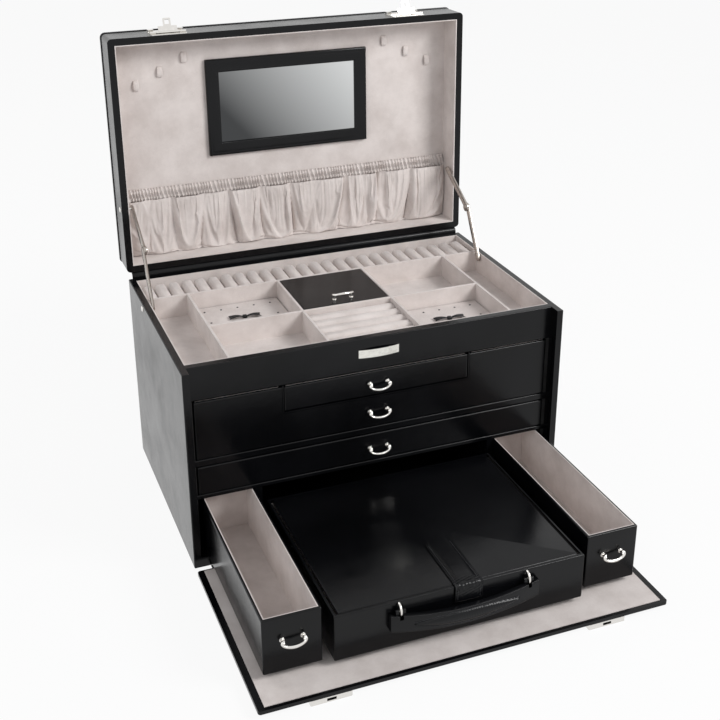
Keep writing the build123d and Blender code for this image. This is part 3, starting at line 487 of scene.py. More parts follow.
def pocketHeight(p, u, v):
    t = (v - p["foot"]) / (p["top"] - p["foot"])
    side = smoothStep((p["half"] - abs(u)) / 7)
    height = p["belly"] * math.sin(math.pi * min(max(0.1 + 0.8 * t, 0.02), 0.97)) ** 0.75 + p["mouth"] * t
    height *= 0.45 + 0.55 * side
    for high, low, depth, left, right in p["creases"]:
        where = low + (high - low) * smoothStep(t) + 2.2 * math.sin(3.1 * t + low * 0.07)
        off = u - where
        reach = (left if off < 0 else right) * (0.75 + 0.5 * t)
        deep = depth * smoothStep(t / 0.12 + 0.35) * (0.8 + 0.2 * math.sin(4.5 * t + low))
        height *= 1 - deep * math.exp(-(abs(off) / reach) ** 1.25)
        height += 0.9 * depth * bell(off - 1.9 * reach, 6) * math.sin(math.pi * min(1, t + 0.1)) ** 2
    under = smoothStep((t - 0.6) / 0.4)
    fine = math.sin(u * 2 * math.pi / p["pleatWidth"] + 1.9 * math.sin(u / 17)) + 0.5 * math.sin(u * 1.31 + 2)
    return max(0.5, height + p["pleat"] * fine * under)


def makePocket(p):
    cloth = addGrid((-p["half"], p["foot"]), (p["half"], p["top"]), p["across"], p["up"])
    moveVerts(cloth, lambda u, v, w: (u, v, pocketHeight(p, u, v)))
    pins = cloth.vertex_groups.new(name="sewn")
    for vert in cloth.data.vertices:
        u, v = vert.co.x / mm, vert.co.y / mm
        if v < p["foot"] + 0.1 or v > p["top"] - 0.1 or abs(u) > p["half"] - 0.1:
            pins.add([vert.index], 1.0, "REPLACE")
    start = [vert.co.copy() for vert in cloth.data.vertices]
    selectOnly(cloth)
    sim = cloth.modifiers.new("Cloth", "CLOTH")
    sim.settings.vertex_group_mass = "sewn"
    sim.settings.shrink_min = -p["grow"]
    sim.settings.quality = 6
    sim.settings.tension_stiffness = p["stiffness"]
    sim.settings.compression_stiffness = p["stiffness"]
    sim.settings.bending_stiffness = p["bending"]
    sim.settings.effector_weights.gravity = p["gravity"]
    sim.collision_settings.use_self_collision = False
    sim.collision_settings.use_collision = False
    bpy.context.scene.gravity = (0, -9.8, 0)
    for number in range(1, p["frames"] + 1):
        bpy.context.scene.frame_set(number)
    bpy.ops.object.modifier_apply(modifier=sim.name)
    bpy.context.scene.frame_set(1)
    bpy.context.scene.gravity = (0, 0, -9.8)
    for vert, before in zip(cloth.data.vertices, start):
        step = vert.co - before
        if step.length > p["mostMove"] * mm:
            vert.co = before + step.normalized() * p["mostMove"] * mm
        vert.co.z = min(max(vert.co.z, 0.5 * mm), p["outMost"] * mm)
        vert.co.y = max(vert.co.y, (p["foot"] - 0.3) * mm)
    cloth.vertex_groups.clear()
    addModifier(cloth, "SOLIDIFY", thickness=p["thick"] * mm, offset=-1)
    smooth(cloth, 60)
    place(cloth, lidFace)
    finishPiece(cloth, "pocketCloth", suede, "lid", ["elastic_pocket"])

    band = addGrid((-p["half"], p["top"] - 1.2), (p["half"], p["bandTop"]), 620, 12)

    def ruffle(u, v, w):
        wave = u / p["ruffleWidth"] + 0.32 * math.sin(u / 9.7) + 0.2 * math.sin(u / 3.4 + 1) + 0.05 * (v - 90)
        lower, upper = p["seams"]
        grip = 1 - 0.75 * bell(v - lower, 1.3) - 0.75 * bell(v - upper, 1.3)
        dip = bell(v - lower, 1.6) + bell(v - upper, 1.6)
        crest = math.sin(2 * math.pi * wave)
        rise = p["bandOut"] + p["ruffleHeight"] * crest * grip - 0.7 * dip
        edge = smoothStep((v - 95.5) / 2.0)
        return (u + 0.5 * math.cos(2 * math.pi * wave), v + 0.7 * crest * edge, rise - 1.6 * edge)

    moveVerts(band, ruffle)
    addModifier(band, "SOLIDIFY", thickness=p["thick"] * mm, offset=-1)
    smooth(band, 60)
    place(band, lidFace)
    finishPiece(band, "pocketBand", suede, "lid")


makePocket(pocket)
print("pocket made")

# ring rolls: foam fingers, side by side

rolls = {
    "bottom": 213.5, "top": 237.6, "crown": 7.0, "tip": 2.6, "drawIn": 1.4,
    "backFrom": 69.9, "backLength": 45.4, "backCount": 26, "backHalf": 211.0, "gap": 1.3, "jitter": 0.35,
    "frontHalf": 52.0, "frontFrom": -113.05, "frontTo": -29.6, "frontCount": 5, "frontTop": 235.8,
}


def makeRoll(r, width, length, top):  # lies along y, its front end at y 0
    roll = addBlock((-width / 2, 0, 0), (width / 2, length, top - r["bottom"]))
    crown = min(r["crown"], width * 0.46)
    pickParts(roll, "EDGE", lambda edge: edgeMiddle(roll, edge).z > (top - r["bottom"] - 1) * mm
              and abs(edgeMiddle(roll, edge).x) > 0.1 * mm)
    bpy.ops.mesh.bevel(offset=crown * mm, segments=7, affect="EDGES")
    leaveEdit()
    pickParts(roll, "FACE", lambda face: abs(face.normal.y) > 0.9)
    bpy.ops.mesh.inset(thickness=r["tip"] * 0.5 * mm)
    leaveEdit()
    middle = length / 2 * mm
    half, rim = (width / 2 - r["tip"] * 0.4) * mm, (top - r["bottom"] - 0.6) * mm
    for vert in roll.data.vertices:  # the ends are drawn in like a sewn tube
        inner = abs(vert.co.x) < half and vert.co.z < rim
        out = abs(vert.co.y - middle) > middle - 0.1 * mm
        if out and not inner:
            vert.co.y += (r["drawIn"] if vert.co.y < middle else -r["drawIn"]) * mm
    smooth(roll, 50)
    return roll


def makeRolls(r):
    pitch = 2 * r["backHalf"] / r["backCount"]
    roll = makeRoll(r, pitch - r["gap"], r["backLength"], r["top"])
    places = []
    for number in range(r["backCount"]):
        x = -r["backHalf"] + (number + 0.5) * pitch + random.uniform(-0.2, 0.2)
        shift = Vector((x, r["backFrom"] + random.uniform(0, r["jitter"]), r["bottom"]))
        lift = Matrix.Diagonal((1, 1, 1 - random.uniform(0, 0.035), 1))
        places.append(Matrix.Translation(shift * mm) @ lift)
    back = putCopies(roll, places)
    finishPiece(back, "backRings", suede, "cabinet", ["back_ring_rolls"])

    pitch = (r["frontTo"] - r["frontFrom"]) / r["frontCount"]
    roll = makeRoll(r, pitch - r["gap"], 2 * r["frontHalf"], r["frontTop"])
    places = []
    for number in range(r["frontCount"]):
        y = r["frontFrom"] + (number + 0.5) * pitch
        turn = Matrix.Rotation(math.radians(-90), 4, "Z")
        places.append(Matrix.Translation(Vector((-r["frontHalf"], y, r["bottom"])) * mm) @ turn)
    front = putCopies(roll, places)
    finishPiece(front, "frontRings", suede, "cabinet", ["front_ring_rolls"])


makeRolls(rolls)
print("ring rolls made")

# earring pads with pinked top cloths, holes and a ribbon bow each

pads = {
    "places": {"Left": ((-161.6, -25.6), (-56.4, 65.6)), "Right": ((56.4, -112.25), (161.6, -30.4))},
    "bottom": 213.5, "core": 218.3, "coreIn": 1.2, "top": 219.9, "thick": 0.8, "tooth": 1.7, "toothDeep": 1.5,
    "holeRadius": 1.15, "holeSpread": (0.19, 0.28), "bowWidth": 38, "bowHeight": 10.5,
}


def makePad(p, word, low, high):
    # the core is near-black felt, a painted shade that shows as dark notches between the pinked teeth of the
    # top cloth
    inset = p["coreIn"]
    core = addBlock((low[0] + inset, low[1] + inset, p["bottom"]),
                    (high[0] - inset, high[1] - inset, p["core"]))
    bevelAll(core, 0.8, 2)
    finishPiece(core, "padCorePaintedShade" + word, felt, "cabinet")
    across = 2 * round((high[0] - low[0]) / p["tooth"] / 2)
    up = 2 * round((high[1] - low[1]) / p["tooth"] / 2)
    sheet = addGrid(low, high, across, up)
    stepX, stepY = (high[0] - low[0]) / across, (high[1] - low[1]) / up

    def pink(x, y, z):  # every other point of the rim is cut back
        column, row = round((x - low[0]) / stepX), round((y - low[1]) / stepY)
        if row in (0, up) and column % 2:
            y += p["toothDeep"] * (1 if row == 0 else -1)
        if column in (0, across) and row % 2:
            x += p["toothDeep"] * (1 if column == 0 else -1)
        crown = abs(math.sin(math.pi * column / across) * math.sin(math.pi * row / up))
        return (x, y, p["core"] + 0.15 + 0.7 * crown ** 0.4)

    moveVerts(sheet, pink)
    addModifier(sheet, "SOLIDIFY", thickness=p["thick"] * mm, offset=1)
    smooth(sheet, 40)
    finishPiece(sheet, "padCloth" + word, suede, "cabinet")
    middle = ((low[0] + high[0]) / 2, (low[1] + high[1]) / 2)
    # each hole is a shallow near-black felt disc: painted shade standing in for the hole's depth
    hole = addDisc((0, 0, 0), p["holeRadius"], 0.5, 14)
    pickParts(hole, "FACE", lambda face: face.normal.z > 0.9)
    bpy.ops.mesh.inset(thickness=0.3 * mm)
    bpy.ops.transform.translate(value=(0, 0, -0.15 * mm))
    leaveEdit()
    places = []
    for column in (-2, -1, 0, 1, 2):
        for row in (-1.25, 0, 1.25):
            if abs(column) < 2 and row == 0:
                continue
            x = middle[0] + column * (high[0] - low[0]) * p["holeSpread"][0]
            y = middle[1] + row * (high[1] - low[1]) * p["holeSpread"][1]
            places.append(Matrix.Translation(Vector((x, y, p["top"] - 0.05)) * mm))
    holes = putCopies(hole, places)
    finishPiece(holes, "padHolesPaintedShade" + word, felt, "cabinet")
    return core, middle


def makeBow(p, word, middle):
    loops = addGrid((-1, -1), (1, 1), 36, 8)

    def shape(x, y, z):
        reach = abs(x)
        wide = 0.22 + 0.78 * reach ** 0.75
        fold = 0.9 * math.sin(y * math.pi * 1.5) * (1 - reach) + 0.35 * math.cos(y * 7 + x * 5)
        rise = 0.7 + 2.6 * abs(math.sin(math.pi * reach * 0.92)) ** 0.8 + fold * 0.5
        notch = 1 - 0.09 * (1 - abs(y)) * smoothStep((reach - 0.8) / 0.2)
        return (x * p["bowWidth"] / 2 * notch, y * p["bowHeight"] / 2 * wide, rise)

    moveVerts(loops, shape)
    addModifier(loops, "SOLIDIFY", thickness=0.45 * mm, offset=1)
    addModifier(loops, "SUBSURF", levels=1, render_levels=1)
    knot = addBlock((-2.6, -2.7, 0.2), (2.6, 2.7, 3.6))
    bevelAll(knot, 1.1, 3)
    pickParts(knot, "VERT", lambda vert: abs(vert.co.y) < 1.2 * mm)
    bpy.ops.transform.resize(value=(0.82, 1, 1), center_override=(0, 0, 1.9 * mm))
    leaveEdit()
    bow = joinAll(loops, knot)
    smooth(bow, 50)
    turn = Matrix.Rotation(math.radians(-4), 4, "Z")
    place(bow, Matrix.Translation(Vector((*middle, p["top"])) * mm) @ turn)
    return finishPiece(bow, "bow" + word, ribbon, "cabinet")


def makePads(p):
    cores, bows = [], []
    for word, (low, high) in p["places"].items():
        core, middle = makePad(p, word, low, high)
        cores.append(core)
        bows.append(makeBow(p, word, middle))
    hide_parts("earring_pads")
    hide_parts("earring_bows")


makePads(pads)
print("earring pads made")

# necklace tabs: short loops of suede sewn to the lining

tabs = {
    "places": ((-186, 218), (-157, 232), (-127.5, 247), (127.5, 247), (157, 232), (186, 218)),
    "width": 7.2, "length": 14.0, "out": 3.4, "thick": 1.1, "drop": 4.85, "askew": 3,
}


def makeTabs(t):
    tab = addGrid((-t["width"] / 2, -t["length"] / 2), (t["width"] / 2, t["length"] / 2), 8, 16)

    def bow(u, v, w):
        reach = v / t["length"] * 2
        rise = t["out"] * max(0.0, 1 - abs(reach) ** 2.6) ** 0.6
        curl = 0.5 * (u / t["width"] * 2) ** 2
        narrow = 1 - 0.28 * abs(reach) ** 3
        return (u * narrow, v, 0.2 + rise - curl)

    moveVerts(tab, bow)
    addModifier(tab, "SOLIDIFY", thickness=t["thick"] * mm, offset=-1)
    addModifier(tab, "SUBSURF", levels=1, render_levels=1)
    smooth(tab, 60)
    places = []
    for u, v in t["places"]:
        turn = Matrix.Rotation(math.radians(random.uniform(-t["askew"], t["askew"])), 4, "Z")
        places.append(Matrix.Translation(Vector((u, v + t["drop"], 0)) * mm) @ turn)
    both = putCopies(tab, places)
    place(both, lidFace)
    finishPiece(both, "necklaceLoops", suede, "lid", ["necklace_tabs"])


makeTabs(tabs)
print("necklace tabs made")

# leather frame round the mirror, raised and sewn along both edges

mirrorFrame = {
    "low": (-102.5, 129.35), "high": (102.5, 246.85), "edge": 4.2,
    "rings": ((0.7, 4.9), (1.3, 5.25), (0.9, 4.95), (1.3, 5.3), (3.7, 5.6), (3.7, 5.3), (1.3, 4.95),
              (1.3, 5.2), (0.9, 4.9), (0.7, 4.3)),  # inset and height of each ring, from outside in
    "seams": (2.45, 13.35), "seamHeight": 5.05, "stitchPitch": 2.7, "stitch": 1.9,
}


def makeMirrorFrame(m):
    rim = addGrid(m["low"], m["high"], 1, 1)
    place(rim, Matrix.Translation((0, 0, m["edge"] * mm)))
    pickParts(rim, "FACE", lambda face: True)
    for width, height in m["rings"]:
        bpy.ops.mesh.inset(thickness=width * mm)
        levelPicked(rim, height)
    bpy.ops.mesh.delete(type="FACE")
    leaveEdit()
    edgeUse = {}
    for face in rim.data.polygons:
        for key in face.edge_keys:
            edgeUse[key] = edgeUse.get(key, 0) + 1
    pickParts(rim, "EDGE", lambda edge: edgeUse[tuple(sorted(edge.vertices))] == 1)
    bpy.ops.mesh.extrude_edges_move(TRANSFORM_OT_translate={"value": (0, 0, -1 * mm)})
    levelPicked(rim, 0.05)
    pickParts(rim, "FACE", lambda face: True)
    bpy.ops.mesh.normals_make_consistent(inside=False)
    leaveEdit()
    bevelAll(rim, 0.5, 2, 40)
    smooth(rim, 50)
    place(rim, lidFace)
    finishPiece(rim, "mirrorLeather", leather, "lid", ["mirror_frame"])
    places = []
    (x0, y0), (x1, y1), z = m["low"], m["high"], m["seamHeight"]
    for seam in m["seams"]:
        left, right, foot, head = x0 + seam, x1 - seam, y0 + seam, y1 - seam
        loop = [(left, foot, z), (right, foot, z), (right, head, z), (left, head, z)]
        places += alongPath(loop, m["stitchPitch"], closed=True, trim=0.6)
    addStitches("mirrorStitches", "lid", places, m["stitch"], lidFace)


makeMirrorFrame(mirrorFrame)
print("mirror frame made")

# padded leather back of the lid, with a sewn edge that stands proud of the walls

lidBack = {
    "half": 220.5, "foot": 4.85, "head": 285.25, "front": -1.1, "corner": 5.0,
    "rear": ((0.0, -8.9), (0.45, -9.7), (1.5, -10.25), (4.6, -10.35), (2, -9.75), (2, -10.1),
             (12, -10.45), (26, -10.9), (40, -11.3)),  # inset and level of each ring of the padding
    "edgeProud": 0.9, "edgeFrom": -5.4, "edgeTo": -9.4,
    "stitchLevel": -7.6, "stitchPitch": 3.1, "stitch": 2.2,
}


def makeLidBack(p):
    panel = addBlock((-p["half"], p["foot"], p["rear"][0][1]), (p["half"], p["head"], p["front"]))
    upright = (p["front"] + p["rear"][0][1]) / 2 * mm
    pickParts(panel, "EDGE", lambda edge: abs(edgeMiddle(panel, edge).z - upright) < 0.1 * mm)
    bpy.ops.mesh.bevel(offset=p["corner"] * mm, segments=6)
    leaveEdit()
    pickParts(panel, "FACE", lambda face: face.normal.z < -0.9)
    for width, level in p["rear"][1:]:  # the padding swells inside its sewn edge
        if width < 2:
            bpy.ops.mesh.inset(thickness=width * mm)
        else:
            shrink = 1 - width / p["half"]
            bpy.ops.mesh.extrude_region_move()
            bpy.ops.transform.resize(value=(shrink, 1 - width / (p["head"] - p["foot"]) * 2, 1))
        levelPicked(panel, level)
    leaveEdit()
    smooth(panel, 40)
    place(panel, lidFace)
    finishPiece(panel, "lidPadding", leather, "lid", ["lid_panel"])

    grow = p["edgeProud"]
    edge = addBlock((-p["half"] - grow, p["foot"] - grow, p["edgeTo"]),
                    (p["half"] + grow, p["head"] + grow, p["edgeFrom"]))
    middle = (p["edgeFrom"] + p["edgeTo"]) / 2 * mm
    pickParts(edge, "EDGE", lambda e: abs(edgeMiddle(edge, e).z - middle) < 0.1 * mm)
    bpy.ops.mesh.bevel(offset=(p["corner"] + grow) * mm, segments=6)
    leaveEdit()
    bevelAll(edge, 0.9, 3, 60)
    smooth(edge, 50)
    place(edge, lidFace)
    finishPiece(edge, "lidSewnEdge", leather, "lid")

    loop = roundedLoop(p["half"] + grow + 0.05, p["foot"] - grow - 0.05, p["head"] + grow + 0.05,
                       p["corner"] + grow, p["stitchLevel"])
    places = []
    for start, end in zip(loop, loop[1:] + loop[:1]):
        if (Vector(end) - Vector(start)).length < 1.0:
            continue
        for spot in alongPath([start, end], p["stitchPitch"]):
            ahead = spot.to_3x3() @ Vector((1, 0, 0))
            out = ahead.cross(Vector((0, 0, 1)))
            places.append(axesAt(spot.translation / mm, ahead, out.cross(ahead), out))
    addStitches("lidEdgeStitches", "lid", places, p["stitch"], lidFace)


makeLidBack(lidBack)
print("lid back made")

# drawer pulls: two posts, ball ears and a bar that swells in the middle

pulls = {
    "bar": ((-9.3, 3.0, 5.4), (-11.7, 2.2, 5.6), (-12.1, -0.4, 6.0), (-9.6, -2.9, 6.8), (-5, -4.2, 7.5),
            (0, -4.6, 7.8)),
    "radii": (0.7, 1.45, 1.75, 1.5, 1.75, 1.95),
    "post": 1.35, "postAt": (10.4, 0.4), "out": 5.6, "rose": 2.7, "ball": 1.75,
    "places": {
        "smallPull": ((0, -122.75, 183.5), "small_drawer", "small_drawer_pull"),
        "widePull": ((0, -122.75, 149.1), "wide_drawer", "wide_drawer_pull"),
        "longPull": ((0, -122.75, 102.8), "long_drawer", "long_drawer_pull"),
        "leftPull": ((-174.45, -339.35, 54.7), "left_drawer", "left_drawer_pull"),
        "rightPull": ((174.45, -333.25, 54.7), "right_drawer", "right_drawer_pull"),
        "compartmentPull": ((0, -12.7, 240), "compartment_lid", "compartment_pull"),
    },
    "lyingFlat": "compartmentPull",
}


def makePulls(p):
    half = list(p["bar"])
    points = half + [(-x, b, c) for x, b, c in reversed(half[:-1])]
    radii = list(p["radii"]) + list(reversed(p["radii"][:-1]))
    parts = [addTube(points, radii)]
    for side in (-1, 1):
        x, y = side * p["postAt"][0], p["postAt"][1]
        parts.append(addDisc((x, y, p["out"] / 2), p["post"], p["out"], 14))
        rose = addDisc((x, y, 0.5), p["rose"], 1.0, 20)
        bevelAll(rose, 0.4, 2, 50)
        parts += [rose, addDome((x, y, p["out"]), p["ball"])]
    pull = joinAll(*parts)
    smooth(pull, 50)
    upright = Matrix(((1, 0, 0, 0), (0, 0, -1, 0), (0, 1, 0, 0), (0, 0, 0, 1)))  # its face looks to the front
    for name, (where, body, node) in p["places"].items():
        turn = Matrix.Identity(4) if name == p["lyingFlat"] else upright
        twin = placeCopy(pull, Matrix.Translation(Vector(where) * mm) @ turn)
        finishPiece(twin, name, nickel, body, [node])
    bpy.data.objects.remove(pull)


makePulls(pulls)
print("pulls made")

# padded handle of the travel case, with a raised lens of crinkled leather along its middle

handle = {
    "half": 80.0, "y": -348.55, "top": 59.7, "height": 18.5, "thick": 6.0, "bow": 6.0, "sag": 6.2,
    "lens": 58.0, "lensHigh": 6.2, "lensOut": 1.9, "crinkle": 2.7, "crinkleDeep": 0.24, "seam": 0.5,
    "loopX": 69.0, "pinZ": 61.7, "slot": 3.8, "slotRadius": 9.1, "ear": 3.2, "earHalf": 1.9, "pin": 1.0,
    "stitchPitch": 2.6, "stitch": 1.8,
}


def handleBend(p, x, y, z):  # the grip bows forward and sags between its ends
    share = 1 - (x / p["half"]) ** 2
    return (x, y - p["bow"] * share, z - p["sag"] * share)


def lensEdge(p, x):
    return p["lensHigh"] * max(0.0, 1 - (abs(x) / p["lens"]) ** 2.2)


def makeHandle(p):
    grip = addGrid((-p["half"], -p["height"] / 2), (p["half"], p["height"] / 2), 200, 26)
    addModifier(grip, "SOLIDIFY", thickness=p["thick"] * mm, offset=0)
    bevelAll(grip, 1.5, 3, 60)
    middle = p["top"] - p["height"] / 2

    def shape(x, v, w):  # w is out of the front face here
        edge = lensEdge(p, x)
        crown = 0.35 * math.sqrt(max(0.0, 1 - (v / (p["height"] / 2)) ** 2))
        rise = 0.0
        if edge > 0.4:
            reach = abs(v) / edge
            if reach < 1:
                swell = (1 - reach ** 2.4) ** 0.7
                wrinkle = math.sin(2 * math.pi * x / p["crinkle"] + 2.2 * v / p["lensHigh"])
                fade = smoothStep((1 - abs(x) / p["lens"]) * 4)
                rise = p["lensOut"] * swell + p["crinkleDeep"] * wrinkle * swell * fade
            rise -= p["seam"] * bell(abs(v) - edge - 0.3, 0.55)
        sign, share = (1, 1) if w > 0 else (-1, 0.6)
        face = smoothStep(abs(w) / (p["thick"] / 2) * 3 - 2)
        out = sign * (rise + crown) * face * share
        return handleBend(p, x, p["y"] - w - out, middle + v)

    moveVerts(grip, shape)
    for side in (-1, 1):
        cutWith(grip, addDisc((side * p["loopX"], p["y"], p["pinZ"]), p["slotRadius"], p["slot"], 40, "X"))
    parts = [grip]
    for side in (-1, 1):
        for end in (-1, 1):  # two ears at each end hold the pin
            inner = side * p["loopX"] + end * p["slot"] / 2
            low, high = sorted((inner, inner + end * p["ear"]))
            ear = addBlock((low, p["y"] - p["earHalf"], p["top"] - 3.4),
                           (high, p["y"] + p["earHalf"], p["pinZ"] + 1.9))
            pickParts(ear, "EDGE", lambda e: edgeMiddle(ear, e).z > (p["pinZ"] + 1.5) * mm
                      and abs(edgeMiddle(ear, e).y - p["y"] * mm) > mm)
            bpy.ops.mesh.bevel(offset=1.7 * mm, segments=4)
            leaveEdit()
            parts.append(ear)
    body = joinAll(*parts)
    smooth(body, 45)
    finishPiece(body, "handleGrip", leather, "case_handle", ["case_handle"])
    pin = joinAll(*[addDisc((side * p["loopX"], p["y"], p["pinZ"]), p["pin"], p["slot"] + 2, 14, "X")
                    for side in (-1, 1)])
    smooth(pin, 40)
    finishPiece(pin, "handlePins", nickel, "case_handle")

    places = []
    for sign in (-1, 1):
        spots = []
        for number in range(61):
            x = -p["lens"] * 0.97 + 2 * p["lens"] * 0.97 * number / 60
            edge = lensEdge(p, x) + 0.9
            spots.append(Vector(handleBend(p, x, p["y"] - p["thick"] / 2 - 0.45, middle + sign * edge)))
        travel = 0.0
        for start, end in zip(spots, spots[1:]):
            run = (end - start).length
            while travel < run:
                where = start + (end - start) * (travel / run)
                ahead = (end - start).normalized()
                out = Vector((0, -1, 0))
                side = out.cross(ahead).normalized()
                places.append(axesAt(where, ahead, side, ahead.cross(side)))
                travel += p["stitchPitch"]
            travel -= run
    addStitches("handleStitches", "case_handle", places, p["stitch"])


makeHandle(handle)
print("handle made")

# strap of the case lid: along the lid, over its front edge and down the face

strap = {
    "low": -10.5, "high": 19.5, "rear": -268.45, "level": 70.9, "thick": 1.9, "face": -345.45, "foot": 53.7,
    "turn": 1.6, "endRound": 10.0, "footRound": 2.5, "crown": 0.5, "seam": 3.0, "crease": 0.35,
    "stitchFrom": 9.0, "stitchPitch": 2.8, "stitch": 1.9,
}


def strapPath(p, s):  # where the strap's underside is, and which way is out, at a distance along it
    flat = p["rear"] - p["face"] - p["turn"]
    arc = p["turn"] * math.pi / 2
    if s < flat:
        return (p["rear"] - s, p["level"]), (0.0, 1.0)
    if s < flat + arc:
        a = (s - flat) / p["turn"]
        y, z = p["face"] + p["turn"] - p["turn"] * math.sin(a), p["level"] - p["turn"] * (1 - math.cos(a))
        return (y, z), (-math.sin(a), math.cos(a))
    return (p["face"], p["level"] - p["turn"] - (s - flat - arc)), (-1.0, 0.0)


def makeStrap(p):
    length = p["rear"] - p["face"] - p["turn"] + p["turn"] * math.pi / 2 + p["level"] - p["turn"] - p["foot"]
    wide = p["high"] - p["low"]
    sheet = addGrid((0, 0), (wide, length), 30, 150)
    addModifier(sheet, "SOLIDIFY", thickness=p["thick"] * mm, offset=1)
    bevelAll(sheet, 0.7, 3, 60)

    def drape(u, s, w):
        c = u / wide * 2 - 1
        if s < p["endRound"]:
            c *= math.sqrt(max(0.0, 1 - (1 - s / p["endRound"]) ** 2)) * 0.45 + 0.55
        below = length - s
        if below < p["footRound"]:
            c *= 0.94 + 0.06 * math.sqrt(max(0.0, 1 - (1 - below / p["footRound"]) ** 2))
        (y, z), (oy, oz) = strapPath(p, s)
        flat = p["rear"] - p["face"] - p["turn"]
        top = smoothStep(w / p["thick"] * 2 - 0.6)
        edge = (1 - abs(c)) * wide / 2
        groove = bell(edge - p["seam"], 0.7) * 0.35
        puff = p["crown"] * smoothStep((edge - p["seam"]) / 4)
        near = bell(s - flat - 1.2, 6.5)
        waves = math.sin(u * 1.7 + 0.9 * math.sin(s)) + 0.6 * math.sin(s * 1.9 + u * 0.6)
        lift = w + top * (puff - groove + p["crease"] * near * waves)
        return (p["low"] + (c + 1) / 2 * wide, y + oy * lift, z + oz * lift)

    moveVerts(sheet, drape)
    smooth(sheet, 45)
    finishPiece(sheet, "strapLeather", leather, "case_lid", ["case_strap"])
    places = []
    for c in (p["seam"], wide - p["seam"]):
        s = p["stitchFrom"]
        while s < length - 3:
            (y, z), (oy, oz) = strapPath(p, s)
            ahead = Vector((0, -oz, oy)) if oz > 0.5 else Vector((0, -oz, -abs(oy)))
            ahead.normalize()
            out = Vector((0, oy, oz))
            side = out.cross(ahead)
            lift = p["thick"] + 0.02
            where = (p["low"] + c, y + oy * lift, z + oz * lift)
            places.append(axesAt(where, ahead, side, ahead.cross(side)))
            s += p["stitchPitch"]
    addStitches("strapStitches", "case_lid", places, p["stitch"])


makeStrap(strap)
print("strap made")

# travel case lid: a padded slab with its edge turned

caseLid = {"low": (-129.6, -341.45, 66.9), "high": (129.6, -134.65, 70.9), "corner": 2.4, "round": 1.5}


def makeCaseLid(p):
    slab = addBlock(p["low"], p["high"])
    upright = (p["low"][2] + p["high"][2]) / 2 * mm
    pickParts(slab, "EDGE", lambda edge: abs(edgeMiddle(slab, edge).z - upright) < 0.1 * mm)
    bpy.ops.mesh.bevel(offset=p["corner"] * mm, segments=4)
    leaveEdit()
    bevelAll(slab, p["round"], 4, 60)
    smooth(slab, 40)
    finishPiece(slab, "caseLidLeather", leather, "case_lid", ["case_lid"])


makeCaseLid(caseLid)
print("case lid made")

# leather hinges: one behind the lid and one in front of the base, each laid along a fixed path

hinges = {
    "thick": 1.1, "lidHalf": 215.0, "lidLength": 0.0495, "flapHalf": 202.0, "flapLength": 0.0115,
    "lidPath": ((136.95, 217), (136.95, 228), (136.95, 236.5), (136.6, 239.5), (136.75, 242.6),
                (137.9, 245.0), (140.2, 246.3), (143.5, 246.5), (149, 246.45), (160, 246.4)),
    "flapPath": ((-136.9, 5.6), (-139, 5.9), (-142.2, 6.3), (-145.5, 5.9), (-148.3, 5.6)),
}


def makeHinge(p, name, path, half, replaced=()):
    along = 4 * (len(path) - 1)
    sheet = addGrid((-half, 0), (half, along), 160, along)

    def lay(x, s, w):  # four rows of faces from each point of the path to the next
        number = min(int(s / 4), len(path) - 2)
        t = s / 4 - number
        first, last = Vector(path[number]), Vector(path[number + 1])
        before = Vector(path[max(number - 1, 0)])
        after = Vector(path[min(number + 2, len(path) - 1)])
        ease = 0.5 * ((2 * first) + (last - before) * t + (2 * before - 5 * first + 4 * last - after) * t * t
                      + (3 * first - before - 3 * last + after) * t ** 3)
        return (x, ease.x, ease.y)

    moveVerts(sheet, lay)
    addModifier(sheet, "SOLIDIFY", thickness=p["thick"] * mm, offset=0)
    smooth(sheet, 60)
    return finishPiece(sheet, name, leather, None, replaced)


def makeHinges(p):
    back = makeHinge(p, "lidHinge", p["lidPath"], p["lidHalf"], ["hinge_strips"])
    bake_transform(back)
    front = makeHinge(p, "flapHinge", p["flapPath"], p["flapHalf"])
    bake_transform(front)


makeHinges(hinges)
print("leather hinges made")

# lid stays: rounded bars with ringed rivets at the elbows

stays = {
    "side": 211.2, "lowerIn": 1.7, "upperIn": 3.2, "thick": 1.4, "swell": 2.3, "width": 8.2,
    "body": (56, 234.5), "elbow": (89.862, 292.313), "lid": (148.389, 324.925),
    "steps": ((0.78, 0.55), (0.5, 0.3), (0.25, 0.12)),  # share of the width, and of the swell, at each step
    "discs": ((5.6, 3.4), (3.8, 4.3), (1.9, 4.9)),  # radius and depth of the elbow's ring, rivet and cap
}


def makeArm(p, start, end):  # an upright bar with round ends that swells towards the middle of the box
    ahead = Vector((end[0] - start[0], end[1] - start[1]))
    length, half = ahead.length, p["width"] / 2
    bar = addDisc((0, 0, p["thick"] / 2), half, p["thick"], 32)
    moveVerts(bar, lambda x, y, z: (x + (length if x > 0.01 else 0), y, z))
    pickParts(bar, "FACE", lambda face: face.normal.z > 0.9)
    for share, rise in p["steps"]:
        bpy.ops.mesh.extrude_region_move()
        leaveEdit()
        for vert in bar.data.vertices:
            if vert.select:
                vert.co.z += rise * p["swell"] * mm
                vert.co.y *= share
                tip = -1 if vert.co.x < length / 2 * mm else 1
                vert.co.x -= tip * (1 - share) * half * 0.35 * mm
        startEdit()
    leaveEdit()
    turn = math.atan2(ahead.y, ahead.x)
    upright = Matrix(((0, 0, 1, 0), (1, 0, 0, 0), (0, 1, 0, 0), (0, 0, 0, 1)))  # it swells in x
    spin = Matrix.Rotation(turn, 4, "Z")
    return place(bar, Matrix.Translation(Vector((0, start[0], start[1])) * mm) @ upright @ spin)


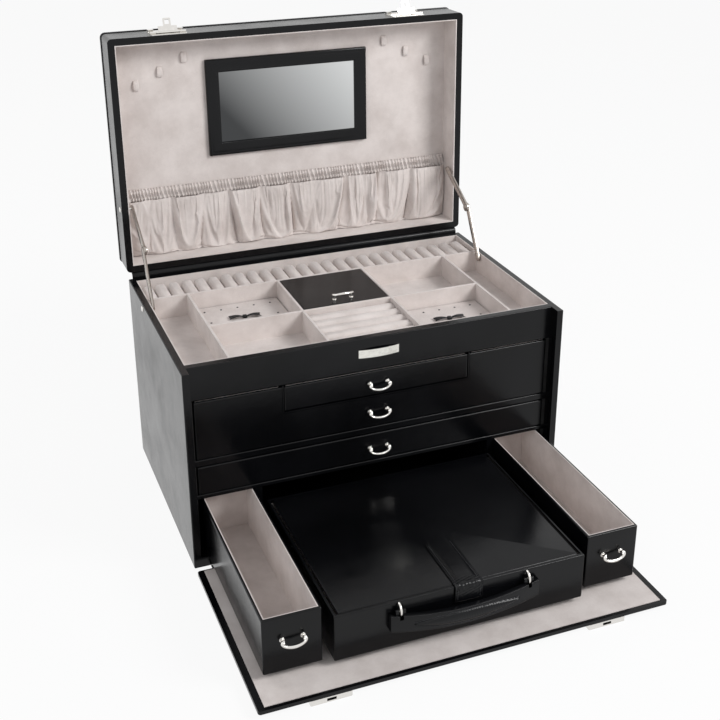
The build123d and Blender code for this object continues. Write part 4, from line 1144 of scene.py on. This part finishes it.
def makeStays(p):
    for word, side in (("left", -1), ("right", 1)):
        for kind, start, inner in (("lower", p["body"], p["lowerIn"]), ("upper", p["lid"], p["upperIn"])):
            arm = makeArm(p, start, p["elbow"])
            if kind == "upper":
                arm = joinAll(arm, *[addDisc((depth / 2, *p["elbow"]), radius, depth, 28, "X")
                                     for radius, depth in p["discs"]])
            flip = Matrix.Diagonal((-side, 1, 1, 1))
            place(arm, Matrix.Translation(Vector((side * (p["side"] - inner), 0, 0)) * mm) @ flip)
            if side > 0:
                pickParts(arm, "FACE", lambda face: True)
                bpy.ops.mesh.flip_normals()
                leaveEdit()
            bevelAll(arm, 0.25, 2, 50)
            smooth(arm, 35)
            node = word + "_stay_" + kind
            finishPiece(arm, word + kind.title() + "Stay", stayMetal, node, [node])


makeStays(stays)
print("stays made")

# floor, light and camera
stageSetup = {
    "focal": 1195.925, "centre": (353.4, 280.0), "frame": 720, "azimuth": -20.853, "elevation": 22.625,
    "roll": -0.346, "distance": 1341.03, "target": (0, -47.085, 276.352),
    "floor": 0.80, "floorSeen": 0.92, "worldLight": 0.36, "worldColour": (0.93, 0.96, 1.0, 1),
    "lamps": {  # place, aim, size and power
        "key": ((1.5, -1.5, 1.7), (0, -0.05, 0.25), 1.0, 45),
        "fill": ((-1.7, -1.5, 1.3), (0, -0.05, 0.2), 1.4, 9),
        "rim": ((-1.5, 1.0, 1.7), (0, 0.1, 0.3), 1.0, 8),
    },
}


def mixSeen(tree, lit, white, share, target):  # camera, mirror and glass rays see that share of plain white
    path = tree.nodes.new("ShaderNodeLightPath")
    total = path.outputs["Is Camera Ray"]
    for ray in ("Is Glossy Ray", "Is Transmission Ray"):
        total = addMath(tree, "MAXIMUM", total, path.outputs[ray])
    mix = tree.nodes.new("ShaderNodeMixShader")
    tree.links.new(addMath(tree, "MULTIPLY", total, share), mix.inputs["Fac"])
    tree.links.new(lit.outputs[0], mix.inputs[1])
    tree.links.new(white.outputs[0], mix.inputs[2])
    tree.links.new(mix.outputs[0], tree.nodes[target].inputs["Surface"])


def addStage(s):
    deselect()
    bpy.ops.mesh.primitive_plane_add(size=40)
    floor = bpy.context.object
    floor.name = "floor"
    colour = (s["floor"],) * 3 + (1,)
    material = newMaterial("paleFloor", Base_Color=colour, Roughness=0.9, Specular_IOR_Level=0.1)
    tree = material.node_tree
    light = tree.nodes.new("ShaderNodeEmission")
    light.inputs["Strength"].default_value = 1.0
    mixSeen(tree, tree.nodes["Principled BSDF"], light, s["floorSeen"], "Material Output")
    floor.data.materials.append(material)

    world = bpy.data.worlds.new("studio")
    bpy.context.scene.world = world
    world.use_nodes = True
    tree = world.node_tree
    soft = tree.nodes["Background"]
    soft.inputs["Color"].default_value = s["worldColour"]
    soft.inputs["Strength"].default_value = s["worldLight"]
    white = tree.nodes.new("ShaderNodeBackground")
    white.inputs["Color"].default_value = (1, 1, 1, 1)
    mixSeen(tree, soft, white, 1.0, "World Output")

    for name, (where, aim, size, power) in s["lamps"].items():
        bpy.ops.object.light_add(type="AREA", location=where)
        lamp = bpy.context.object
        lamp.name = name
        lamp.data.shape = "SQUARE"
        lamp.data.size = size
        lamp.data.energy = power
        lamp.rotation_euler = (Vector(where) - Vector(aim)).to_track_quat("Z", "Y").to_euler()

    a, e = math.radians(s["azimuth"]), math.radians(s["elevation"])
    back = Vector((math.sin(a) * math.cos(e), -math.cos(a) * math.cos(e), math.sin(e)))
    data = bpy.data.cameras.new("camera")
    camera = bpy.data.objects.new("camera", data)
    bpy.context.scene.collection.objects.link(camera)
    turn = (-back).to_track_quat("-Z", "Y").to_matrix().to_4x4()
    turn = turn @ Matrix.Rotation(math.radians(s["roll"]), 4, "Z")
    camera.matrix_world = Matrix.Translation((Vector(s["target"]) + back * s["distance"]) * mm) @ turn
    data.sensor_width = 36
    data.lens = s["focal"] / s["frame"] * 36
    data.shift_x = (s["frame"] / 2 - s["centre"][0]) / s["frame"]
    data.shift_y = (s["centre"][1] - s["frame"] / 2) / s["frame"]
    bpy.context.scene.camera = camera
    bpy.context.scene.view_settings.view_transform = "Standard"


addStage(stageSetup)
print("stage, lights and camera set")
